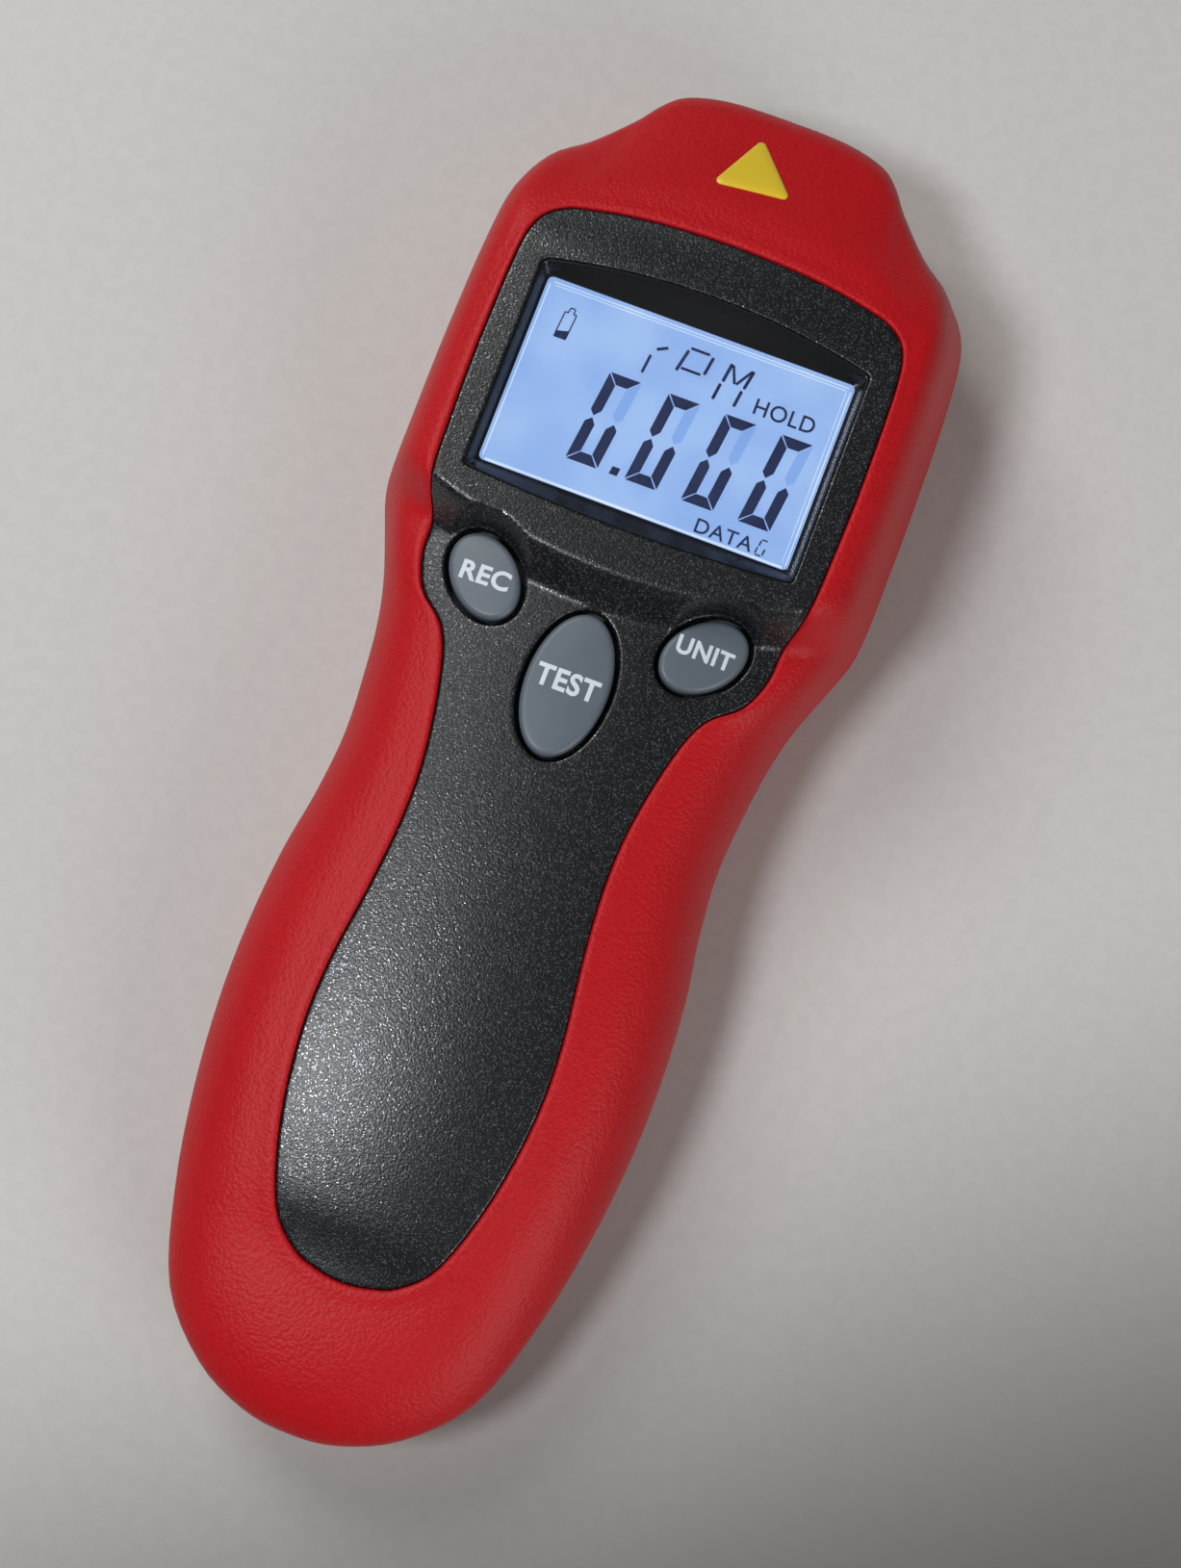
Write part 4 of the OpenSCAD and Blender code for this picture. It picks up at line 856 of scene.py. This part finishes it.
# Rubber: rolled lip, flank and hidden inner face
lip = {
    "height": 0.36, "round": 0.55, "tuck": 0.25, "hold": 0.95, "fade": 1.3, "flankRows": 22, "innerRows": 9,
    "steps": (0.0, 0.05, 0.15, 0.3, 0.5, 0.75, 1.05, 1.4, 1.9, 2.5, 3.3), "partLine": 0.22, "partInset": 0.3,
}


def lipRise(distance):
    short = np.clip(1 - distance / lip["round"], 0, 1)
    rise = np.sqrt(np.maximum(0, 1 - short * short))
    late = np.maximum(distance - lip["hold"], 0) / lip["fade"]
    return lip["height"] * rise * np.exp(-late * late) - lip["tuck"] * short ** 2


def partRing():
    return ringAt(rimLine - lip["partInset"] * rimNormal, body["partingHeight"])


def buildFrontRubber():
    run = np.linalg.norm(rimLine - edgeLine, axis=1)
    shares = np.empty((columnCount, len(lip["steps"]) + lip["flankRows"]))
    for i in range(columnCount):
        out = np.maximum.accumulate(flankProfile[i, :, 0] + 1e-7 * np.arange(flankSteps + 1))
        near = np.interp(np.array(lip["steps"]) / run[i], out, np.arange(flankSteps + 1)) / flankSteps
        shares[i] = np.concatenate([near, np.linspace(near[-1], 1, lip["flankRows"] + 1)[1:]])
    outerRows = flankPoints(shares, 0)
    away = np.linalg.norm(outerRows[:, :, :2] - edgeLine[None], axis=2)
    outerRows[:, :, 2] += lipRise(away)
    outerRows[-1, :, 2] += lip["partLine"]
    inner = flankPoints(np.tile(np.linspace(1, 0, lip["innerRows"]), (columnCount, 1)), body["rubber"])
    return rolledGrid("front_rubber", np.concatenate([outerRows, partRing()[None], inner]))


# Round the flat back the rubber ends in a small groove: offset from the foot line, and height
rearLook = {"perStep": 6, "innerStep": 4, "groove": ((0.7, 0.02), (0.3, 0.06), (0.12, 0.3), (0.08, 2.0))}


def buildRearRubber():
    curve = openCurve(backProfile, rearLook["perStep"])
    shell = [ringAt(rimLine + (footLine - rimLine) * out, body["partingHeight"] * (1 - down)) for out, down in curve]
    shell[0][:, 2] -= lip["partLine"]
    groove = [ringAt(footLine + offset * footNormal, height) for offset, height in rearLook["groove"]]
    rim = rimLine - body["rubber"] * rimNormal
    foot = footLine + rearLook["groove"][-1][0] * footNormal
    inner = []
    for out, down in curve[::-rearLook["innerStep"]]:
        height = body["rubber"] + (body["partingHeight"] - body["rubber"]) * (1 - down)
        inner.append(ringAt(rim + (foot - rim) * out, height))
    return rolledGrid("rear_rubber", np.array([partRing()] + shell[:-1] + groove + inner[1:]))


# Keys: a cylinder squeezed to the oval, its rim rolled and its top domed
def keySurface(key, x, y):
    inside = -keyDistance(key, x, y) - keyLook["gap"]
    share = np.clip(1 - inside / (key["b"] - keyLook["gap"]), 0, 1)
    base = handleTop(0.0, key["place"][1]) - x * x / (2 * body["handleCrownRadius"])
    return base + keyLook["proud"] + keyLook["dome"] * (1 - share ** 2)


def buildKey(name, key):
    deselectAll()
    bpy.ops.mesh.primitive_cylinder_add(vertices=keyLook["corners"], radius=1, depth=1, end_fill_type="NGON")
    piece = bpy.context.object
    piece.name = name + "_cap"
    panel = float(handleTop(0.0, key["place"][1]))
    low, high = panel - keyLook["well"], panel + keyLook["proud"]
    turn = Matrix.Rotation(math.radians(key["turn"]), 4, "Z")
    place = Matrix.Translation(Vector((*key["place"], (low + high) / 2)) * mm)
    size = [(key[side] - keyLook["gap"]) * mm for side in ("a", "b")]
    piece.data.transform(place @ turn @ Matrix.Diagonal((*size, (high - low) * mm, 1)))
    top = (high - 0.01) * mm
    roundEdges(piece, lambda a, b: min(a.z, b.z) > top, keyLook["edgeRound"], keyLook["edgeSteps"])
    selectTopFace(piece)
    centre = Vector((*key["place"], high)) * mm
    for share in keyLook["topRings"]:
        bpy.ops.mesh.extrude_region_move(TRANSFORM_OT_translate={"value": (0, 0, 0)})
        bpy.ops.transform.resize(value=(share, share, 1), center_override=centre)
    bpy.ops.mesh.poke()
    objectMode()
    places = vertexPlaces(piece.data) / mm
    lift = keySurface(key, places[:, 0], places[:, 1]) - high
    places[:, 2] += lift * smooth(low + keyLook["still"], high - keyLook["moving"], places[:, 2])
    moveVertices(piece.data, places)
    finishPiece(piece, keyPlastic, name, (name,), 50)


# Words: letter spacing and curve steps, and the ink on the keys
letters = {"spacing": 1.07, "curveSteps": 6}
keyInk = {"lift": 0.005, "thickness": 0.035, "fatten": 0.03}


def addWords(name, words, size, centre, heightAt, thickness, fatten):
    # Size is the width and the height of the whole word
    deselectAll()
    bpy.ops.object.text_add()
    piece = bpy.context.object
    piece.name = name
    piece.data.body = words
    piece.data.offset = fatten
    piece.data.space_character = letters["spacing"]
    piece.data.align_x = "CENTER"
    piece.data.resolution_u = letters["curveSteps"]
    bpy.ops.object.convert(target="MESH")
    piece = bpy.context.object
    places = vertexPlaces(piece.data)
    low, high = places.min(axis=0)[:2], places.max(axis=0)[:2]
    places[:, :2] = np.array(centre) + (places[:, :2] - (low + high) / 2) * np.array(size) / (high - low)
    places[:, 2] = heightAt(places[:, 0], places[:, 1])
    moveVertices(piece.data, places)
    piece.matrix_world = Matrix.Identity(4)
    faceOutward(piece)
    if sum(face.normal.z for face in piece.data.polygons) < 0:
        piece.data.flip_normals()
    applyModifier(piece, "SOLIDIFY", thickness=thickness * mm, offset=1)
    return piece


keyPlastic = mouldedFinish("keyPlastic", (0.098, 0.122, 0.148), 0.42, size=0.00022, depth=0.00002, spread=0.06)
inkWhite = mouldedFinish("whiteInk", (0.60, 0.66, 0.72), 0.5, size=0.0002, depth=0.00001, spread=0.05)
redRubber = rubberFinish()
panelPlastic = panelFinish("panelPlastic")
bezelPlastic = mouldedFinish("bezelPlastic", (0.009, 0.009, 0.010), 0.24, size=0.0008, depth=0.000005, strength=0.05)

cutter = noseCutter()
frontShell = buildFrontShell()
cutAway(frontShell, cutter)
finishPiece(frontShell, panelPlastic, "case", ("front_case",), 35)
print("front shell built", len(frontShell.data.polygons))
frontRubber = buildFrontRubber()
cutAway(frontRubber, cutter)
finishPiece(frontRubber, redRubber, "case", ("front_grip",), 50)
rearRubber = buildRearRubber()
cutAway(rearRubber, cutter)
finishPiece(rearRubber, redRubber, "case", ("rear_grip",), 50)
bpy.data.objects.remove(cutter)
print("rubber built", len(frontRubber.data.polygons), len(rearRubber.data.polygons))

for name, key in keys.items():
    buildKey(name, key)
    centre = np.array(key["place"]) + key["labelShift"]
    words = addWords(name + "_label", key["label"], key["labelSize"], centre,
        lambda x, y, k=key: keySurface(k, x, y) + keyInk["lift"], keyInk["thickness"], keyInk["fatten"])
    finishPiece(words, inkWhite, name)
print("keys built")


# Display frame: black walls that slope from the panel to the window.
# Rim rings are an inset from the recess and a drop under the panel, foot rings a gap round the window and a rise
frameLook = {
    "rim": ((0.06, 0.42), (0.12, 0.3), (0.26, 0.32)), "slopeTop": (0.3, 0.36), "slopeShares": (0.0, 0.35, 0.7, 1.0),
    "slopeFoot": (0.45, 0.32), "foot": ((0.16, 0.12), (0.0, 0.02), (0.3, 0.0)),
}


def buildDisplayFrame():
    rim = recessLoop(frameLook["rim"][0][0])
    panel, lens = panelHeight(rim[:, 0], rim[:, 1]), display["lensHeight"]
    rows = [ringAt(recessLoop(inset), panel - drop) for inset, drop in frameLook["rim"]]
    inset, drop = frameLook["slopeTop"]
    gap, rise = frameLook["slopeFoot"]
    start, end = ringAt(recessLoop(inset), panel - drop), ringAt(windowLoop(gap), lens + rise)
    rows += [start + (end - start) * t for t in frameLook["slopeShares"]]
    rows += [ringAt(windowLoop(gap), lens + rise) for gap, rise in frameLook["foot"]]
    return rolledGrid("display_frame", np.array(rows + [ringAt(rim, lens)]))


displayFrame = buildDisplayFrame()
finishPiece(displayFrame, bezelPlastic, "case", ("display_bezel",), 30)


# Flat plates: the display's digits and marks, the painted highlights on the window's edge, and the badge
def addPlate(outline, low, high):
    # A filled circle with one corner for each point of the outline, drawn up to its thickness
    deselectAll()
    bpy.ops.mesh.primitive_circle_add(vertices=len(outline), radius=1, fill_type="NGON")
    piece = bpy.context.object
    for vertex, (x, y) in zip(piece.data.vertices, outline):
        vertex.co = (x * mm, y * mm, low * mm)
    makeActive(piece)
    editMode()
    bpy.ops.mesh.select_all(action="SELECT")
    bpy.ops.mesh.extrude_region_move(TRANSFORM_OT_translate={"value": (0, 0, (high - low) * mm)})
    faceOutward(piece)
    return piece


def joinPieces(name, pieces):
    deselectAll()
    for piece in pieces:
        piece.select_set(True)
    bpy.context.view_layer.objects.active = pieces[0]
    bpy.ops.object.join()
    pieces[0].name = name
    return pieces[0]


digits = {
    "low": 41.3, "high": 55.7, "slant": 0.115, "stroke": 1.62, "gap": 0.16, "endShare": 0.2,
    "cut": 0.62, "cutShare": 0.8,
    "spans": ((-12.2, -7.2), (-3.0, 2.0), (5.8, 10.8), (14.6, 19.6)), "unlit": ("upperRight",),
    "point": (-4.75, 41.9, 0.62), "pointLean": 0.15, "lift": 0.01, "litTop": 0.05, "unlitTop": 0.03,
}


def digitShapes(left, right):
    # The top bar and the upper left post, mirrored to their other places
    low, high, w, g = digits["low"], digits["high"], digits["stroke"], digits["gap"]
    middle, cut, end = (low + high) / 2 + g, w * digits["cut"], w + g * digits["endShare"]
    bar = [(left + g, high), (right - g, high), (right - end, high - w), (left + end, high - w)]
    post = [(left, high - g), (left + w, high - w - g), (left + w, middle + cut), (left + w / 2, middle),
        (left, middle + cut * digits["cutShare"])]
    shapes = {"top": bar, "upperLeft": post, "upperRight": [(left + right - x, y) for x, y in post[::-1]]}
    for name, source in (("low", "top"), ("lowerLeft", "upperLeft"), ("lowerRight", "upperRight")):
        shapes[name] = [(x, low + high - y) for x, y in shapes[source][::-1]]
    return {name: [(x + (y - low) * digits["slant"], y) for x, y in shape] for name, shape in shapes.items()}


# Thin strokes of the unit letters, the battery mark and the memory mark: start, end and width
strokes = [
    (-6.2, 57.3, -5.9, 60.1, 0.45), (-5.3, 61.3, -3.9, 62.0, 0.45), (-1.6, 59.4, -0.9, 62.7, 0.5),
    (-0.6, 63.2, 2.2, 63.2, 0.42), (2.5, 60.2, 2.9, 62.9, 0.5), (-1.0, 59.9, 1.9, 59.9, 0.4),
    (4.9, 57.2, 5.2, 59.6, 0.5), (5.4, 60.2, 5.8, 63.0, 0.5), (6.1, 62.9, 7.1, 60.4, 0.42),
    (7.4, 60.4, 9.0, 63.0, 0.42), (8.2, 57.2, 8.5, 59.6, 0.5), (8.7, 60.2, 9.2, 63.0, 0.5),
    (-20.3, 57.9, -20.0, 61.8, 0.2), (-18.5, 57.9, -18.2, 61.8, 0.2), (-20.0, 61.9, -19.5, 61.9, 0.2),
    (-18.7, 61.9, -18.2, 61.9, 0.2), (-19.5, 62.0, -19.4, 62.6, 0.2), (-18.7, 62.0, -18.6, 62.6, 0.2),
    (-19.4, 62.7, -18.7, 62.7, 0.2), (18.9, 38.9, 19.0, 39.7, 0.24), (19.1, 39.9, 19.9, 39.9, 0.22),
    (18.7, 37.7, 18.8, 38.6, 0.24), (18.8, 37.5, 19.6, 37.5, 0.22), (19.8, 37.7, 19.9, 38.6, 0.24),
]
strokeTip = 0.3  # share of the width that the pointed ends reach out
batteryFill = [(-20.3, 57.8), (-18.5, 57.8), (-18.3, 59.3), (-20.2, 58.8)]

# Status words: the word, its size and its middle
statusWords = {"hold": ("HOLD", (9.3, 2.5), (15.75, 58.35)), "data": ("DATA", (8.8, 2.2), (13.6, 38.6))}
statusInk = {"thickness": 0.04, "fatten": 0.008}


def strokeOutline(x0, y0, x1, y1, width):
    start, end = np.array([x0, y0]), np.array([x1, y1])
    along = (end - start) / np.linalg.norm(end - start)
    side = np.array([-along[1], along[0]]) * width / 2
    tip = along * width * strokeTip
    return [start + side, start - tip, start - side, end - side, end + tip, end + side][::-1]


def buildDisplay():
    glass = display["glassHeight"]
    base, litTop, unlitTop = (glass + digits[rise] for rise in ("lift", "litTop", "unlitTop"))
    lit, unlit = [], []
    for left, right in digits["spans"]:
        for shapeName, shape in digitShapes(left, right).items():
            if shapeName in digits["unlit"]:
                unlit.append(addPlate(shape, base, unlitTop))
            else:
                lit.append(addPlate(shape, base, litTop))
    x, y, half = digits["point"]
    lean = digits["pointLean"]
    point = [(x - half, y - half), (x + half, y - half), (x + half + lean, y + half), (x - half + lean, y + half)]
    for outline in [point] + [strokeOutline(*stroke) for stroke in strokes] + [batteryFill]:
        lit.append(addPlate(outline, base, litTop))
    for label, (words, size, centre) in statusWords.items():
        lit.append(addWords("display_" + label, words, size, centre, lambda px, py: np.full(len(px), base),
            statusInk["thickness"], statusInk["fatten"]))
    segments = joinPieces("display_segments", lit)
    finishPiece(segments, segmentInk, "case")
    ghosts = joinPieces("display_faint_segments", unlit)
    finishPiece(ghosts, faintInk, "case")


# Lit digits glow faintly blue, because light from the cell creeps round them
segmentInk = mouldedFinish("segmentInk", (0.010, 0.014, 0.045), 0.4, size=0.0004, depth=0.00001)
segmentShader = segmentInk.node_tree.nodes["Principled BSDF"]
segmentShader.inputs["Emission Color"].default_value = (0.003, 0.012, 0.075, 1)
segmentShader.inputs["Emission Strength"].default_value = 0.6
faintInk = glowFinish("faintSegment", (0.22, 0.42, 0.88), (0.25, 0.45, 0.92), 0.86)
buildDisplay()


# Painted highlights: glowing lines where the clear window's edge catches the light. Each bar's two ends across, then
# its two along,
# as a side of the window and an offset from it
edgeHighlight = {"drop": 1.15, "halfThickness": 0.02, "bars": (
    (("left", 0.9), ("right", -0.9), ("low", 0.32), ("low", 0.66)),
    (("left", 0.9), ("right", -0.9), ("top", -0.5), ("top", -0.36)),
    (("left", 1.2), ("right", -1.1), ("top", -0.95), ("top", -0.84)),
    (("right", -0.55), ("right", -0.38), ("low", 0.9), ("top", -0.9)),
    (("right", -1.12), ("right", -1.02), ("low", 1.2), ("top", -1.1)),
    (("left", 0.35), ("left", 0.52), ("low", 0.9), ("top", -0.9)),
)}


def buildEdgeHighlights():
    height, half = display["lensHeight"] - edgeHighlight["drop"], edgeHighlight["halfThickness"]
    sides = {"left": -display["width"] / 2, "right": display["width"] / 2, "low": windowLow, "top": windowTop}
    plates = []
    for bar in edgeHighlight["bars"]:
        left, right, low, top = (sides[side] + offset for side, offset in bar)
        outline = [(left, low), (right, low), (right, top), (left, top)]
        plates.append(addPlate(outline, height - half, height + half))
    return joinPieces("window_edge_highlights", plates)


# The window's edge lines glow as painted highlights
paintedEdgeHighlight = glowFinish("paintedEdgeHighlight", (0.62, 0.76, 1.0), (0.78, 0.88, 1.0), 0.95)
windowHighlights = buildEdgeHighlights()
finishPiece(windowHighlights, paintedEdgeHighlight, "case")
print("display built")


# Badge: a rounded triangle, domed, on the slope of the nose. Each ring of the dome is a share of the size and a rise
badge = {
    "side": 12.0, "corner": 0.75, "stretch": 1.07, "turn": 8.1, "across": -1.3, "along": -3.8,
    "thickness": 1.1, "sunk": 0.95, "slopeReach": 3.5, "slopeSteps": 61,
    "dome": ((0.975, 0.10), (0.93, 0.13), (0.82, 0.10), (0.6, 0.06)),
}


def triangleOutline(side, corner, perCorner=10):
    reach = side / math.sqrt(3) - 2 * corner
    outline = []
    for k in range(3):
        middle = math.radians(90 + 120 * k)
        for angle in np.linspace(middle - math.pi / 3, middle + math.pi / 3, perCorner):
            outline.append((reach * math.cos(middle) + corner * math.cos(angle),
                reach * math.sin(middle) + corner * math.sin(angle)))
    return outline


def buildBadge():
    low, high = (Vector(c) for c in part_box("nose_badge"))
    noseRow = flankPoints(np.tile(np.linspace(0, 1, badge["slopeSteps"]), (columnCount, 1)), 0)[:, 0]
    middle, reach = ((low + high) / 2).y / mm + badge["along"], badge["slopeReach"]
    near, fore, aft = (noseRow[np.argmin(np.abs(noseRow[:, 1] - middle - step))] for step in (0, reach, -reach))
    slope = math.atan2(aft[2] - fore[2], fore[1] - aft[1])
    outline = [(x, badge["stretch"] * y) for x, y in triangleOutline(badge["side"], badge["corner"])]
    piece = addPlate(outline, 0, badge["thickness"])
    piece.name = "nose_mark"
    selectTopFace(piece)
    total = 1.0
    for share, rise in badge["dome"]:
        bpy.ops.mesh.extrude_region_move(TRANSFORM_OT_translate={"value": (0, 0, rise * mm)})
        bpy.ops.transform.resize(value=(share / total, share / total, 1), center_override=(0, 0, 0))
        total = share
    bpy.ops.mesh.poke()
    objectMode()
    ground = Vector((badge["across"], near[1], near[2])) * mm
    piece.data.transform(Matrix.Translation(ground) @ Matrix.Rotation(-slope, 4, "X")
        @ Matrix.Rotation(math.radians(badge["turn"]), 4, "Z") @ Matrix.Translation((0, 0, -badge["sunk"] * mm)))
    return piece


badgeYellow = mouldedFinish("badgeYellow", (0.70, 0.50, 0.03), 0.3, size=0.0006, depth=0.00001, spread=0.05)
noseMark = buildBadge()
finishPiece(noseMark, badgeYellow, "case", ("nose_badge",), 40)
print("badge built")


# Finishes of the pieces that stay as the solids give them: colour, roughness and other values
moulds = {
    "nose_plastic": ((0.018, 0.018, 0.020), 0.4, {"size": 0.00025}),
    "dark_window": ((0.030, 0.004, 0.006), 0.08, {"size": 0.002, "depth": 0.000005, "coat": 1.0}),
    "inner_plastic": ((0.02, 0.02, 0.021), 0.5, {}),
    "contact_rubber": ((0.15, 0.15, 0.16), 0.7, {"size": 0.0005}),
    "board_green": ((0.008, 0.055, 0.022), 0.3, {"size": 0.0008, "depth": 0.00001}),
    "chip_black": ((0.012, 0.012, 0.013), 0.55, {}),
    "sensor_can": ((0.03, 0.03, 0.034), 0.35, {}),
    "battery_case": ((0.05, 0.055, 0.065), 0.28, {"size": 0.0006, "coat": 0.3}),
    "snap_plastic": ((0.012, 0.012, 0.012), 0.6, {}),
    "lead_plastic": ((0.30, 0.015, 0.015), 0.45, {}),
    "foam_pad": ((0.02, 0.02, 0.02), 0.95, {"size": 0.0007, "depth": 0.0002, "strength": 0.8}),
}
metals = {
    "screw_steel": ((0.42, 0.43, 0.44), 0.32),
    "spindle_steel": ((0.62, 0.62, 0.63), 0.2),
    "bearing_steel": ((0.70, 0.70, 0.71), 0.12),
    "housing_aluminium": ((0.66, 0.67, 0.69), 0.3),
    "laser_brass": ((0.60, 0.42, 0.16), 0.28),
}


def finishName(slot):
    first, *rest = slot.split("_")
    return first + "".join(word.capitalize() for word in rest)


finishes = {
    "case_plastic": panelFinish("rearCasePlastic"),
    "clear_window": glassFinish(),
    "lcd_cell": glowFinish("displayCell", backlight["dim"], backlight["bright"], backlight["strength"]),
    "light_guide": glowFinish("lightGuide", (0.7, 0.8, 1.0), (0.9, 0.95, 1.0), 0.6),
    "badge_yellow": badgeYellow, "red_rubber": redRubber, "bezel_plastic": bezelPlastic, "key_grey": keyPlastic,
}
for slot, (colour, roughness, more) in moulds.items():
    finishes[slot] = mouldedFinish(finishName(slot), colour, roughness, **more)
for slot, (colour, roughness) in metals.items():
    finishes[slot] = metalFinish(finishName(slot), colour, roughness)
slotOf = {entry["node"]: entry["material_slot"] for entry in frame["record"]["subparts"]}
for name, node in frame["nodes"].items():
    node.data.materials.clear()
    node.data.materials.append(finishes[slotOf[name]])
print("finishes given to", len(frame["nodes"]), "nodes")

bpy.context.scene.view_settings.view_transform = "Standard"
